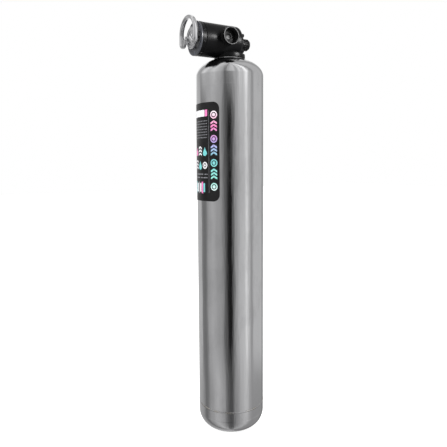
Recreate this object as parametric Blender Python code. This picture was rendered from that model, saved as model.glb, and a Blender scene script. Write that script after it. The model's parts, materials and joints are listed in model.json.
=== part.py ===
"""A stainless media-filter vessel with a manual rotary valve on its neck.

Metres, +Z up. The origin is the middle of the vessel's flat underside. The valve lies along Y with its
handle towards -Y, the inlet port on +X and the outlet port on -X.
"""

import math

import bmesh
import bpy
from mathutils import Matrix, Vector

# Driving dimensions of the vessel
TANK_RADIUS = 0.1015
TANK_WALL = 0.0020
CROWN_HEIGHT = 1.143
TOP_HEAD_RISE = 0.056
KNUCKLE_RADIUS = 0.050
HEAD_SKIRT = 0.027
WELD_WIDTH = 0.0044
WELD_PROUD = 0.0006

# Neck of the vessel
NECK_THREAD_RADIUS = 0.0365
NECK_OUTER_RADIUS = 0.0425
NECK_DEPTH = 0.022
NECK_PROUD = 0.0010

# Label
LABEL_WIDTH = 0.150
LABEL_HEIGHT = 0.287
LABEL_BELOW_WELD = 0.0545
LABEL_THICKNESS = 0.0005

# Riser, strainers and media
RISER_RADIUS = 0.01335
RISER_WALL = 0.0026
STRAINER_RADIUS = 0.020
STRAINER_WALL = 0.0025
STRAINER_HEIGHT = 0.048
STRAINER_LIFT = 0.004
TOP_STRAINER_RADIUS = 0.026
TOP_STRAINER_HEIGHT = 0.045
SLOT_COUNT = 10
SLOT_WIDTH = 0.0016
GRAVEL_TOP = 0.110
MEDIA_SHARE = 0.665

# Valve body; along the valve, forward of the vessel's axis is positive
BARREL_STANDOFF = 0.00122
BODY_RADIUS = 0.0485
BODY_REAR = -0.022
BODY_FRONT = 0.100
REAR_TAPER_LENGTH = 0.0100
REAR_TAPER_DEPTH = 0.0090
CHAMBER_RADIUS = 0.0385
CHAMBER_FLOOR = 0.053
THREAD_RADIUS = 0.0440
THREAD_LENGTH = 0.0085
BASE_RADIUS = 0.0465
BASE_HEIGHT = 0.0135
BASE_STANDOFF = 0.0017
SEAL_ROOM = 0.0032
BASE_THREAD_DEPTH = 0.018
BASE_BORE = 0.0300
RISER_HUB_RADIUS = 0.0200
TANK_WAY_RADIUS = 0.0045
TANK_WAY_OFFSET = 0.0250

# Ports
PORT_FORWARD = 0.034
PORT_RISE = 0.003
PORT_REACH = 0.072
PORT_NECK_RADIUS = 0.0235
PORT_RIM_RADIUS = 0.0255
PORT_RIM_WIDTH = 0.006
PORT_BORE = 0.0205
PORT_DEPTH = 0.021
PASSAGE_RADIUS = 0.0085
PASSAGE_PITCH = 0.0180

# Bonnet, nut and dial
NUT_RADIUS = 0.0500
NUT_LENGTH = 0.0125
NUT_LUGS = 8
NUT_LUG_HALF = 0.0030
BONNET_FLANGE = 0.0020
BONNET_LENGTH = 0.0250
BONNET_BOSS_RADIUS = 0.0350
SEAL_WIDTH = 0.0030
SEAL_DEPTH = 0.0026
DIAL_RADIUS = 0.0490
DIAL_THICKNESS = 0.0040
DIAL_SCREW_PITCH = 0.0260
DIAL_SCREWS = 3
SCREW_SHANK = 0.0015
SCREW_HEAD = 0.0030
SCREW_HEAD_HEIGHT = 0.0018
DIAL_SCREW_LENGTH = 0.012

# Spindle and discs
SPINDLE_RADIUS = 0.0080
SPINDLE_STUB = 0.0050
SPINDLE_FLANGE_RADIUS = 0.0240
SPINDLE_FLANGE = 0.0100
WASHER_THICKNESS = 0.0015
DISC_RADIUS = 0.0300
FIXED_DISC = 0.0055
MOVING_DISC = 0.0085
GASKET = 0.0016
DISC_PORT = 0.0062
DRAIN_PORT = 0.0050

# Handle
HUB_RADIUS = 0.0310
HUB_THICKNESS = 0.0065
HUB_STANDOFF = 0.0050
HUB_NUT_RADIUS = 0.0085
HUB_NUT_HEIGHT = 0.0060
LOOP_HALF_WIDTH = 0.0520
LOOP_TOP = 0.0630
LOOP_BOTTOM = -0.0250
LOOP_CORNER = 0.0100
BAR_DEPTH = 0.0130
BAR_THICKNESS = 0.0110
BAR_ROUNDING = 0.0030
BAR_ROUND_STEPS = 2
BAR_EDGE_ANGLE = 60.0
BAR_LIFT = 0.0015
TAB_THICKNESS = 0.0030
TAB_HEIGHT = 0.0120
TAB_REACH = 0.0170
ARCH_SHARE = 0.9
ARCH_STEPS = 16
CORNER_SWEEP = 110.0
CORNER_STEPS = 4
SHARPEST_BEND = 0.5

# Rear cover and drain
COVER_RADIUS = 0.0340
COVER_THICKNESS = 0.0060
COVER_GASKET = 0.0010
COVER_SCREW_X = 0.0165
COVER_SCREW_Z = 0.0225
COVER_SCREW_HEAD = 0.0055
COVER_SCREW_HEIGHT = 0.0090
COVER_SCREW_SHANK = 0.0025
COVER_SCREW_LENGTH = 0.016
SPIGOT_RADIUS = 0.0145
SPIGOT_LENGTH = 0.0235
DRAIN_NUT_RADIUS = 0.0175
DRAIN_NUT_STANDOFF = 0.0030
DRAIN_NUT_WALL = 0.0027
DRAIN_NUT_RIBS = 10
TAIL_RADIUS = 0.0100
TAIL_BORE = 0.0072
TAIL_FLANGE = 0.0030
TAIL_END = 0.0680
TAIL_WASHER = 0.0020

# Clearances
GAP = 0.0003
RUNNING = 0.0004
OVERCUT = 0.0040

# Facets round a full turn
TANK_FACETS = 44
VALVE_FACETS = 28
SMALL_FACETS = 16
SCREW_FACETS = 8
CAP_FACETS = 10
HEAD_STEPS = 6
SEAL_FACETS = 6
TOOL_PHASE = 0.37
WELD_DISTANCE = 0.00001
RIM_BREAK = 0.0010
MERGE_DISTANCE = 0.000001
SMOOTH_UNDER = 35.0

# Places worked out from the sizes above
TANK_BORE = TANK_RADIUS - TANK_WALL
LOWER_WELD = KNUCKLE_RADIUS + HEAD_SKIRT + WELD_WIDTH / 2 + GAP
UPPER_TANGENT = CROWN_HEIGHT - TOP_HEAD_RISE
UPPER_WELD = UPPER_TANGENT - HEAD_SKIRT - WELD_WIDTH / 2 - GAP
LABEL_TOP = UPPER_WELD - LABEL_BELOW_WELD
MEDIA_TOP = CROWN_HEIGHT * MEDIA_SHARE
MOUTH_RADIUS = NECK_OUTER_RADIUS + GAP
MOUTH_HEIGHT = UPPER_TANGENT + TOP_HEAD_RISE * math.sqrt(1 - (MOUTH_RADIUS / TANK_RADIUS) ** 2)
VALVE_HEIGHT = MOUTH_HEIGHT + BARREL_STANDOFF + BODY_RADIUS
NECK_TOP = CROWN_HEIGHT + NECK_PROUD
SEAT_HEIGHT = NECK_TOP + SEAL_ROOM
BONNET_SEAT = BODY_FRONT + THREAD_LENGTH
BONNET_REAR = BONNET_SEAT - BONNET_LENGTH
NUT_FRONT = BODY_FRONT + GAP + NUT_LENGTH
DIAL_REAR = NUT_FRONT + GAP
DIAL_FRONT = DIAL_REAR + DIAL_THICKNESS
HUB_REAR = DIAL_FRONT + HUB_STANDOFF
HUB_FRONT = HUB_REAR + HUB_THICKNESS
BAR_REAR = HUB_FRONT + BAR_LIFT
BAR_FRONT = BAR_REAR + BAR_DEPTH
FIXED_DISC_REAR = CHAMBER_FLOOR + GASKET + 2 * GAP
MOVING_DISC_REAR = FIXED_DISC_REAR + FIXED_DISC + GAP
SPINDLE_REAR = MOVING_DISC_REAR + MOVING_DISC + GAP
SPINDLE_SHOULDER = SPINDLE_REAR + SPINDLE_FLANGE
COVER_FRONT = BODY_REAR - COVER_GASKET - 2 * GAP
COVER_REAR = COVER_FRONT - COVER_THICKNESS
SPIGOT_END = COVER_REAR - SPIGOT_LENGTH

# The empties that hold the valve's pieces: one fixed, one on the handle's joint
VALVE = {}


def clear_scene():
    for thing in list(bpy.data.objects):
        bpy.data.objects.remove(thing, do_unlink=True)


def material(name, colour, roughness, metallic=0.0):
    made = bpy.data.materials.new(name)
    made.use_nodes = True
    shader = made.node_tree.nodes["Principled BSDF"]
    shader.inputs["Base Color"].default_value = (*colour, 1.0)
    shader.inputs["Roughness"].default_value = roughness
    shader.inputs["Metallic"].default_value = metallic
    return made


def finish_mesh(name, mesh_data, made_of, parent=None):
    """Turns a bmesh into a placed object with closed, outward faces."""
    bmesh.ops.remove_doubles(mesh_data, verts=mesh_data.verts[:], dist=MERGE_DISTANCE)
    bmesh.ops.recalc_face_normals(mesh_data, faces=mesh_data.faces[:])
    mesh = bpy.data.meshes.new(name)
    mesh_data.to_mesh(mesh)
    mesh_data.free()
    mesh.shade_smooth()
    mesh.set_sharp_from_angle(angle=math.radians(SMOOTH_UNDER))
    thing = bpy.data.objects.new(name, mesh)
    bpy.context.scene.collection.objects.link(thing)
    if made_of is not None:
        mesh.materials.append(made_of)
    thing.parent = parent
    return thing


def turned(name, outline, made_of, parent=None, facets=VALVE_FACETS, ring=True, phase=0.0):
    """A solid turned round Z from (radius, height) points; a ring's outline closes on itself.

    Phase turns the facets, as a share of one, so that crossing shapes share no edge.
    """
    start = math.tau * phase / facets
    across, along = math.cos(start), math.sin(start)
    data = bmesh.new()
    points = [
        data.verts.new((radius * across, radius * along, height)) for radius, height in outline
    ]
    pairs = list(zip(points, points[1:]))
    if ring:
        pairs.append((points[-1], points[0]))
    edges = [data.edges.new(pair) for pair in pairs]
    bmesh.ops.spin(
        data,
        geom=points + edges,
        cent=(0, 0, 0),
        axis=(0, 0, 1),
        angle=math.tau,
        steps=facets,
        use_merge=True,
    )
    return finish_mesh(name, data, made_of, parent)


def rod(name, radius, low, high, made_of=None, parent=None, facets=SMALL_FACETS, edge=0.0):
    """A solid cylinder along Z, with a small chamfer where edge isn't zero."""
    if edge:
        outline = [(0, high), (radius - edge, high), (radius, high - edge)]
        outline += [(radius, low + edge), (radius - edge, low), (0, low)]
    else:
        outline = [(0, high), (radius, high), (radius, low), (0, low)]
    phase = 0.0 if made_of else TOOL_PHASE
    return turned(name, outline, made_of, parent, facets, ring=False, phase=phase)


def block(name, low, high, made_of=None, parent=None):
    """A box between two corners."""
    data = bmesh.new()
    bmesh.ops.create_cube(data, size=1.0)
    size = Vector(high) - Vector(low)
    middle = (Vector(high) + Vector(low)) / 2
    bmesh.ops.scale(data, vec=size, verts=data.verts[:])
    bmesh.ops.translate(data, vec=middle, verts=data.verts[:])
    return finish_mesh(name, data, made_of, parent)


def collar_outline(inner, outer, low, high, edge=0.0):
    """A ring's section, with its outer edges broken by a small chamfer where edge isn't zero."""
    if edge:
        return [
            (inner, high),
            (outer - edge, high),
            (outer, high - edge),
            (outer, low + edge),
            (outer - edge, low),
            (inner, low),
        ]
    return [(inner, high), (outer, high), (outer, low), (inner, low)]


def round_ring_outline(inner, outer, low, high):
    """A round-section seal's outline: a few points round an ellipse that fills the room given."""
    middle, half = (inner + outer) / 2, (outer - inner) / 2
    centre, rise = (low + high) / 2, (high - low) / 2
    turns = [math.tau * (step + 0.5) / SEAL_FACETS for step in range(SEAL_FACETS)]
    reach = 1 / math.cos(math.pi / SEAL_FACETS)
    return [
        (middle + half * math.cos(turn) * reach, centre - rise * math.sin(turn) * reach)
        for turn in turns
    ]


def join_shape(thing, tool, operation):
    """Adds or cuts another shape with an exact Boolean, and hides that shape from the build."""
    change = thing.modifiers.new(tool.name, "BOOLEAN")
    change.operation = operation
    change.solver = "EXACT"
    change.object = tool
    weld = thing.modifiers.new(f"{tool.name}_weld", "WELD")
    weld.merge_threshold = WELD_DISTANCE
    tool.hide_render = True
    tool.display_type = "WIRE"


def cut(thing, *tools):
    for tool in tools:
        join_shape(thing, tool, "DIFFERENCE")


def add(thing, *tools):
    for tool in tools:
        join_shape(thing, tool, "UNION")


def empty(name, place, turn=(0, 0, 0), parent=None):
    thing = bpy.data.objects.new(name, None)
    thing.location = place
    thing.rotation_euler = turn
    thing.parent = parent
    bpy.context.scene.collection.objects.link(thing)
    return thing


def head_arc(radius, rise, height, start=0.0, steps=HEAD_STEPS):
    """Points down an ellipse from its inner radius to its widest point."""
    first = math.acos(start / radius)
    return [
        (
            radius * math.cos(first * (1 - step / steps)),
            height + rise * math.sin(first * (1 - step / steps)),
        )
        for step in range(steps + 1)
    ]


def weld_bead(name, height, steel):
    low, high = height - WELD_WIDTH / 2, height + WELD_WIDTH / 2
    crown = TANK_RADIUS + WELD_PROUD
    outline = [
        (TANK_BORE, high),
        (TANK_RADIUS, high),
        (crown, height + WELD_WIDTH / 4),
        (crown, height - WELD_WIDTH / 4),
        (TANK_RADIUS, low),
        (TANK_BORE, low),
    ]
    turned(name, outline, steel, facets=TANK_FACETS)


def make_vessel(steel, weld_steel):
    """Barrel, two pressed heads, their girth welds and the threaded neck."""
    weld_room = WELD_WIDTH / 2 + GAP
    barrel = collar_outline(TANK_BORE, TANK_RADIUS, LOWER_WELD + weld_room, UPPER_WELD - weld_room)
    turned("tank_barrel", barrel, steel, facets=TANK_FACETS)
    weld_bead("lower_girth_weld", LOWER_WELD, weld_steel)
    weld_bead("upper_girth_weld", UPPER_WELD, weld_steel)

    skirt_low = UPPER_WELD + weld_room
    outer = head_arc(TANK_RADIUS, TOP_HEAD_RISE, UPPER_TANGENT, MOUTH_RADIUS)
    inner = head_arc(TANK_BORE, TOP_HEAD_RISE - TANK_WALL, UPPER_TANGENT, MOUTH_RADIUS)
    outline = outer + [(TANK_RADIUS, skirt_low), (TANK_BORE, skirt_low)] + inner[::-1]
    turned("top_head", outline, steel, facets=TANK_FACETS)

    flat = TANK_RADIUS - KNUCKLE_RADIUS
    skirt_high = LOWER_WELD - weld_room
    turns = [math.pi / 2 * step / HEAD_STEPS for step in range(HEAD_STEPS + 1)]
    outside = [
        (flat + KNUCKLE_RADIUS * math.cos(t), KNUCKLE_RADIUS * (1 - math.sin(t))) for t in turns
    ]
    inside = [
        (
            flat + (KNUCKLE_RADIUS - TANK_WALL) * math.cos(t),
            KNUCKLE_RADIUS - (KNUCKLE_RADIUS - TANK_WALL) * math.sin(t),
        )
        for t in turns
    ]
    outline = [(0, TANK_WALL)] + inside[::-1] + [(TANK_BORE, skirt_high), (TANK_RADIUS, skirt_high)]
    outline += outside + [(0, 0)]
    turned("bottom_head", outline, steel, facets=TANK_FACETS, ring=False)

    neck = collar_outline(
        NECK_THREAD_RADIUS, NECK_OUTER_RADIUS, CROWN_HEIGHT - NECK_DEPTH, NECK_TOP, RIM_BREAK / 2
    )
    turned("neck_ring", neck, steel)


def make_label(film):
    """A thin film wrapped round the front of the barrel."""
    half_turn = LABEL_WIDTH / TANK_RADIUS / 2
    inner = TANK_RADIUS + GAP
    steps = TANK_FACETS // 4
    data = bmesh.new()
    strip = [
        data.verts.new((0, -radius, height))
        for radius, height in collar_outline(
            inner, inner + LABEL_THICKNESS, LABEL_TOP - LABEL_HEIGHT, LABEL_TOP
        )
    ]
    face = data.faces.new(strip)
    start = Matrix.Rotation(-half_turn, 3, "Z")
    bmesh.ops.rotate(data, cent=(0, 0, 0), matrix=start, verts=data.verts[:])
    bmesh.ops.spin(
        data,
        geom=[face],
        cent=(0, 0, 0),
        axis=(0, 0, 1),
        angle=2 * half_turn,
        steps=steps,
    )
    finish_mesh("front_label", data, film)


def slot_cutters(name, radius, low, high, parent=None):
    """Thin upright blades that cut the slots of a strainer, each through both its walls."""
    blades = []
    for index in range(SLOT_COUNT // 2):
        blade = block(
            f"{name}_blade_{index}",
            (-radius - OVERCUT, -SLOT_WIDTH / 2, low),
            (radius + OVERCUT, SLOT_WIDTH / 2, high),
            parent=parent,
        )
        blade.rotation_euler = (0, 0, math.tau * (index + 0.5) / SLOT_COUNT)
        blades.append(blade)
    return blades


def make_inside(pipe, strainer, gravel, media):
    """Riser pipe, strainers, gravel and filter media."""
    riser_bore = RISER_RADIUS - RISER_WALL
    strainer_low = TANK_WALL + STRAINER_LIFT
    strainer_top = strainer_low + STRAINER_HEIGHT
    collar_top = strainer_top + STRAINER_WALL
    socket = RISER_RADIUS + GAP
    riser_low = strainer_top - STRAINER_HEIGHT / 4
    riser_high = SEAT_HEIGHT + SEAL_WIDTH
    tube = collar_outline(riser_bore, RISER_RADIUS, riser_low, riser_high)
    turned("riser_pipe", tube, pipe, facets=SMALL_FACETS)

    cage = STRAINER_RADIUS - STRAINER_WALL
    basket = turned(
        "bottom_strainer",
        [
            (socket, collar_top),
            (STRAINER_RADIUS, collar_top),
            (STRAINER_RADIUS, strainer_low + STRAINER_WALL + GAP),
            (cage, strainer_low + STRAINER_WALL + GAP),
            (cage, strainer_top),
            (socket, strainer_top),
        ],
        strainer,
        facets=SMALL_FACETS,
    )
    slot_low, slot_high = strainer_low + 3 * STRAINER_WALL, strainer_top - 2 * STRAINER_WALL
    cut(basket, *slot_cutters("bottom_strainer", STRAINER_RADIUS, slot_low, slot_high))
    rod(
        "strainer_cap",
        STRAINER_RADIUS,
        strainer_low,
        strainer_low + STRAINER_WALL,
        strainer,
        facets=SMALL_FACETS,
        edge=RIM_BREAK / 2,
    )

    inner = KNUCKLE_RADIUS - TANK_WALL - GAP
    flat = TANK_RADIUS - KNUCKLE_RADIUS
    floor = TANK_WALL + GAP
    fill = TANK_BORE - GAP
    turns = [math.pi / 2 * step / HEAD_STEPS for step in range(HEAD_STEPS + 1)]
    curve = [
        (flat + inner * math.cos(t), KNUCKLE_RADIUS - inner * math.sin(t)) for t in turns
    ]
    around_basket, around_pipe = STRAINER_RADIUS + GAP, socket
    bed = [(around_pipe, GRAVEL_TOP), (fill, GRAVEL_TOP)] + curve
    bed += [
        (around_basket, floor),
        (around_basket, collar_top + GAP),
        (around_pipe, collar_top + GAP),
    ]
    turned("gravel_bed", bed, gravel, facets=TANK_FACETS // 2)
    charge = collar_outline(around_pipe, fill, GRAVEL_TOP + GAP, MEDIA_TOP)
    turned("filter_media", charge, media, facets=TANK_FACETS // 2)

    top_high = CROWN_HEIGHT - max(BASE_THREAD_DEPTH, NECK_DEPTH) - GAP
    top_low = top_high - TOP_STRAINER_HEIGHT
    inside = TOP_STRAINER_RADIUS - STRAINER_WALL
    cone = turned(
        "top_strainer",
        [
            (inside, top_high),
            (TOP_STRAINER_RADIUS, top_high),
            (TOP_STRAINER_RADIUS, top_low),
            (socket, top_low),
            (socket, top_low + STRAINER_WALL),
            (inside, top_low + STRAINER_WALL),
        ],
        strainer,
        facets=SMALL_FACETS,
    )
    slot_low, slot_high = top_low + 2 * STRAINER_WALL, top_high - 2 * STRAINER_WALL
    cut(cone, *slot_cutters("top_strainer", TOP_STRAINER_RADIUS, slot_low, slot_high))


def side_pipe(name, radius, near, far, height=0.0, forward=PORT_FORWARD, facets=VALVE_FACETS):
    """A rod along X at a port's place in the valve's own axes."""
    pipe = rod(name, radius, near, far, parent=VALVE["axis"], facets=facets)
    pipe.rotation_euler = (0, math.pi / 2, 0)
    pipe.location = (0, height, forward)
    return pipe


def upright(name, radius, low, high, facets=VALVE_FACETS, place=(0.0, 0.0)):
    """A rod along world Z."""
    post = rod(name, radius, low, high, facets=facets)
    post.location = (*place, 0)
    return post


def make_body(plastic):
    """The valve's one moulding: barrel, side ports, threaded base and passages."""
    axis = VALVE["axis"]
    shoulder = THREAD_RADIUS
    body = turned(
        "valve_body",
        [
            (0, BONNET_SEAT),
            (shoulder, BONNET_SEAT),
            (shoulder, BODY_FRONT),
            (BODY_RADIUS, BODY_FRONT),
            (BODY_RADIUS, BODY_REAR + REAR_TAPER_LENGTH),
            (BODY_RADIUS - REAR_TAPER_DEPTH / 3, BODY_REAR + REAR_TAPER_LENGTH / 3),
            (BODY_RADIUS - REAR_TAPER_DEPTH, BODY_REAR),
            (0, BODY_REAR),
        ],
        plastic,
        axis,
        ring=False,
    )
    for side, sign in (("inlet", 1), ("outlet", -1)):
        rim_start = PORT_REACH - PORT_RIM_WIDTH
        neck = side_pipe(f"{side}_neck", PORT_NECK_RADIUS, 0, sign * (rim_start + RIM_BREAK), PORT_RISE)
        rim = side_pipe(f"{side}_rim", PORT_RIM_RADIUS, sign * rim_start, sign * PORT_REACH, PORT_RISE)
        add(body, neck, rim)
    base_low = MOUTH_HEIGHT + BASE_STANDOFF
    stub_low = CROWN_HEIGHT - BASE_THREAD_DEPTH
    stub_high = base_low + BASE_HEIGHT - RIM_BREAK
    add(
        body,
        upright("base_stub", NECK_THREAD_RADIUS, stub_low, stub_high),
        upright("base_flange", BASE_RADIUS, base_low, base_low + BASE_HEIGHT),
    )
    recess = turned(
        "neck_recess",
        collar_outline(
            NECK_THREAD_RADIUS - GAP, NECK_OUTER_RADIUS + GAP, stub_low - OVERCUT, SEAT_HEIGHT
        ),
        None,
        phase=TOOL_PHASE,
    )
    bowl = turned(
        "base_bowl",
        collar_outline(RISER_HUB_RADIUS, BASE_BORE, stub_low - OVERCUT, SEAT_HEIGHT + GAP),
        None,
        phase=TOOL_PHASE,
    )
    riser_hole = upright(
        "riser_hole",
        RISER_RADIUS + GAP,
        stub_low - OVERCUT,
        SEAT_HEIGHT + SEAL_WIDTH + 2 * GAP,
    )
    seal_pocket = upright(
        "seal_pocket",
        RISER_RADIUS + SEAL_DEPTH + 3 * GAP,
        stub_low - OVERCUT,
        stub_low + SEAL_WIDTH + 3 * GAP,
        SMALL_FACETS,
    )
    riser_way = upright(
        "riser_way",
        RISER_RADIUS - RISER_WALL,
        SEAT_HEIGHT + SEAL_WIDTH,
        VALVE_HEIGHT - PASSAGE_PITCH + DISC_PORT / 3,
        SMALL_FACETS,
    )
    tank_way = upright(
        "tank_way",
        TANK_WAY_RADIUS,
        SEAT_HEIGHT - OVERCUT,
        VALVE_HEIGHT + PASSAGE_PITCH + TANK_WAY_RADIUS / 2,
        SMALL_FACETS,
        (TANK_WAY_OFFSET, 0),
    )
    tank_across = side_pipe(
        "tank_across", TANK_WAY_RADIUS, 0, TANK_WAY_OFFSET, PASSAGE_PITCH, GAP, SMALL_FACETS
    )
    cut(body, recess, bowl, riser_hole, seal_pocket, riser_way, tank_way, tank_across)
    chamber = rod(
        "chamber", CHAMBER_RADIUS, CHAMBER_FLOOR, BONNET_SEAT + OVERCUT, None, axis, VALVE_FACETS
    )
    cut(body, chamber)
    for side, sign in (("inlet", 1), ("outlet", -1)):
        socket_floor = PORT_REACH - PORT_DEPTH
        socket = side_pipe(
            f"{side}_socket", PORT_BORE, sign * socket_floor, sign * (PORT_REACH + OVERCUT), PORT_RISE
        )
        across = side_pipe(
            f"{side}_across",
            PASSAGE_RADIUS,
            sign * (PASSAGE_PITCH - PASSAGE_RADIUS / 2),
            sign * (socket_floor + OVERCUT),
            0,
            facets=SMALL_FACETS,
        )
        along = rod(
            f"{side}_along",
            DISC_PORT,
            PORT_FORWARD - PASSAGE_RADIUS / 2,
            CHAMBER_FLOOR + OVERCUT,
            None,
            axis,
        )
        along.location = (sign * PASSAGE_PITCH, 0, 0)
        cut(body, socket, across, along)
    drain = rod("drain_way", DRAIN_PORT, BODY_REAR - OVERCUT, CHAMBER_FLOOR + OVERCUT, None, axis)
    cut(body, drain)
    for name, height in (("riser_along", -PASSAGE_PITCH), ("tank_along", PASSAGE_PITCH)):
        along = rod(name, DISC_PORT, -DISC_PORT / 2, CHAMBER_FLOOR + OVERCUT, None, axis)
        along.location = (0, height, 0)
        cut(body, along)
    for index, (x, z) in enumerate(cover_screw_places()):
        hole = rod(
            f"cover_hole_{index}",
            COVER_SCREW_SHANK + GAP,
            BODY_REAR - OVERCUT,
            COVER_REAR + COVER_SCREW_LENGTH + GAP,
            None,
            axis,
        )
        hole.location = (x, z, 0)
        cut(body, hole)


def cover_screw_places():
    return [
        (sign_x * COVER_SCREW_X, sign_z * COVER_SCREW_Z) for sign_x in (1, -1) for sign_z in (1, -1)
    ]


def make_neck_seals(rubber):
    neck = round_ring_outline(
        NECK_THREAD_RADIUS + GAP, NECK_OUTER_RADIUS - GAP, NECK_TOP + GAP, SEAT_HEIGHT - GAP
    )
    turned("neck_seal", neck, rubber)
    low = CROWN_HEIGHT - BASE_THREAD_DEPTH + GAP
    riser = round_ring_outline(
        RISER_RADIUS + GAP, RISER_RADIUS + GAP + SEAL_DEPTH, low, low + SEAL_WIDTH
    )
    turned("riser_seal", riser, rubber, facets=SMALL_FACETS)


def screw(name, place, seat, shank, length, head, height, made_of, parent, facets):
    """A screw along the valve: its head ahead of seat and its shank behind."""
    body = turned(
        name,
        [
            (0, seat + height),
            (head - height / 4, seat + height),
            (head, seat + height * 3 / 4),
            (head, seat),
            (shank, seat),
            (shank, seat - length),
            (0, seat - length),
        ],
        made_of,
        parent,
        facets,
        ring=False,
    )
    body.location = (*place, 0)
    return body


def dial_screw_places():
    turns = [math.tau * (index + 0.25) / DIAL_SCREWS for index in range(DIAL_SCREWS)]
    return [
        (DIAL_SCREW_PITCH * math.cos(turn), DIAL_SCREW_PITCH * math.sin(turn)) for turn in turns
    ]


def make_bonnet(plastic, nut_plastic, dial_plastic, steel, rubber):
    """The plate that closes the chamber, its ring nut, its seals and the position dial."""
    axis = VALVE["axis"]
    plug = CHAMBER_RADIUS - GAP
    bore = SPINDLE_RADIUS + RUNNING
    groove_high = BONNET_SEAT - 3 * SEAL_WIDTH
    groove_low = groove_high - SEAL_WIDTH - 2 * GAP
    flange_front = BONNET_SEAT + GAP + BONNET_FLANGE
    boss_front = NUT_FRONT
    seal_rear = boss_front - 2 * SEAL_WIDTH
    bonnet = turned(
        "bonnet",
        [
            (bore + SEAL_DEPTH + GAP, boss_front),
            (BONNET_BOSS_RADIUS, boss_front),
            (BONNET_BOSS_RADIUS, flange_front),
            (THREAD_RADIUS - GAP, flange_front),
            (THREAD_RADIUS - GAP, BONNET_SEAT + GAP),
            (plug, BONNET_SEAT + GAP),
            (plug, groove_high),
            (plug - SEAL_DEPTH, groove_high),
            (plug - SEAL_DEPTH, groove_low),
            (plug, groove_low),
            (plug, BONNET_REAR),
            (bore, BONNET_REAR),
            (bore, seal_rear),
            (bore + SEAL_DEPTH + GAP, seal_rear),
        ],
        plastic,
        axis,
    )
    for index, place in enumerate(dial_screw_places()):
        hole = rod(
            f"dial_hole_{index}",
            SCREW_SHANK + GAP,
            DIAL_FRONT - DIAL_SCREW_LENGTH - GAP,
            boss_front + OVERCUT,
            None,
            axis,
            SCREW_FACETS,
        )
        hole.location = (*place, 0)
        cut(bonnet, hole)
    seal = round_ring_outline(
        plug - SEAL_DEPTH + GAP, CHAMBER_RADIUS - GAP, groove_low + GAP, groove_high - GAP
    )
    turned("bonnet_seal", seal, rubber, axis)
    packing = round_ring_outline(
        bore, bore + SEAL_DEPTH, seal_rear + GAP, seal_rear + GAP + SEAL_WIDTH
    )
    turned("spindle_seal", packing, rubber, axis, SMALL_FACETS)

    inner = THREAD_RADIUS + GAP
    lip_rear = flange_front + GAP
    ring = turned(
        "bonnet_nut",
        [
            (BONNET_BOSS_RADIUS + GAP, NUT_FRONT),
            (NUT_RADIUS - 2 * RIM_BREAK, NUT_FRONT),
            (NUT_RADIUS - RIM_BREAK, NUT_FRONT - RIM_BREAK),
            (NUT_RADIUS - RIM_BREAK, BODY_FRONT + GAP),
            (inner, BODY_FRONT + GAP),
            (inner, lip_rear),
            (BONNET_BOSS_RADIUS + GAP, lip_rear),
        ],
        nut_plastic,
        axis,
    )
    for index in range(NUT_LUGS):
        turn = math.tau * (index + 0.5) / NUT_LUGS
        lug = block(
            f"nut_lug_{index}",
            (inner + RIM_BREAK, -NUT_LUG_HALF, BODY_FRONT + GAP + RIM_BREAK),
            (NUT_RADIUS, NUT_LUG_HALF, NUT_FRONT - RIM_BREAK),
            parent=axis,
        )
        lug.rotation_euler = (0, 0, turn)
        add(ring, lug)

    dial = turned(
        "dial_plate",
        collar_outline(bore + 2 * GAP, DIAL_RADIUS, DIAL_REAR, DIAL_FRONT, RIM_BREAK),
        dial_plastic,
        axis,
    )
    for index, place in enumerate(dial_screw_places()):
        hole = rod(
            f"dial_clear_{index}",
            SCREW_SHANK + GAP,
            DIAL_REAR - OVERCUT,
            DIAL_FRONT + OVERCUT,
            None,
            axis,
            SCREW_FACETS,
        )
        hole.location = (*place, 0)
        cut(dial, hole)
        screw(
            f"dial_screw_{index + 1}",
            place,
            DIAL_FRONT + GAP,
            SCREW_SHANK,
            DIAL_SCREW_LENGTH,
            SCREW_HEAD,
            SCREW_HEAD_HEIGHT,
            steel,
            axis,
            SCREW_FACETS,
        )


def make_discs(ceramic, rubber, nylon):
    """The fixed disc on its gasket, the moving disc and the washer behind the spindle's flange."""
    axis, turning = VALVE["axis"], VALVE["handle"]
    seats = [(PASSAGE_PITCH, 0), (-PASSAGE_PITCH, 0), (0, -PASSAGE_PITCH), (0, PASSAGE_PITCH)]
    layers = (
        ("disc_gasket", rubber, CHAMBER_FLOOR + GAP, CHAMBER_FLOOR + GAP + GASKET),
        ("fixed_disc", ceramic, FIXED_DISC_REAR, FIXED_DISC_REAR + FIXED_DISC),
    )
    for name, made_of, low, high in layers:
        layer = turned(
            name, collar_outline(DRAIN_PORT, DISC_RADIUS, low, high), made_of, axis
        )
        for index, place in enumerate(seats):
            hole = rod(f"{name}_port_{index}", DISC_PORT, low - OVERCUT, high + OVERCUT, None, axis)
            hole.location = (*place, 0)
            cut(layer, hole)
    low, high = MOVING_DISC_REAR, MOVING_DISC_REAR + MOVING_DISC
    mover = rod("moving_disc", DISC_RADIUS, low, high, ceramic, turning, VALVE_FACETS)
    bridge = block(
        "disc_bridge",
        (-DRAIN_PORT, -PASSAGE_PITCH - DISC_PORT, low - OVERCUT),
        (DRAIN_PORT, DRAIN_PORT, low + MOVING_DISC / 2),
        parent=turning,
    )
    window = rod("disc_window", DISC_PORT, low - OVERCUT, high + OVERCUT, None, turning)
    window.location = (PASSAGE_PITCH, 0, 0)
    cut(mover, bridge, window)
    washer = collar_outline(
        SPINDLE_RADIUS + RUNNING,
        SPINDLE_FLANGE_RADIUS,
        SPINDLE_SHOULDER + GAP,
        SPINDLE_SHOULDER + GAP + WASHER_THICKNESS,
    )
    turned("friction_washer", washer, nylon, axis, SMALL_FACETS)


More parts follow.
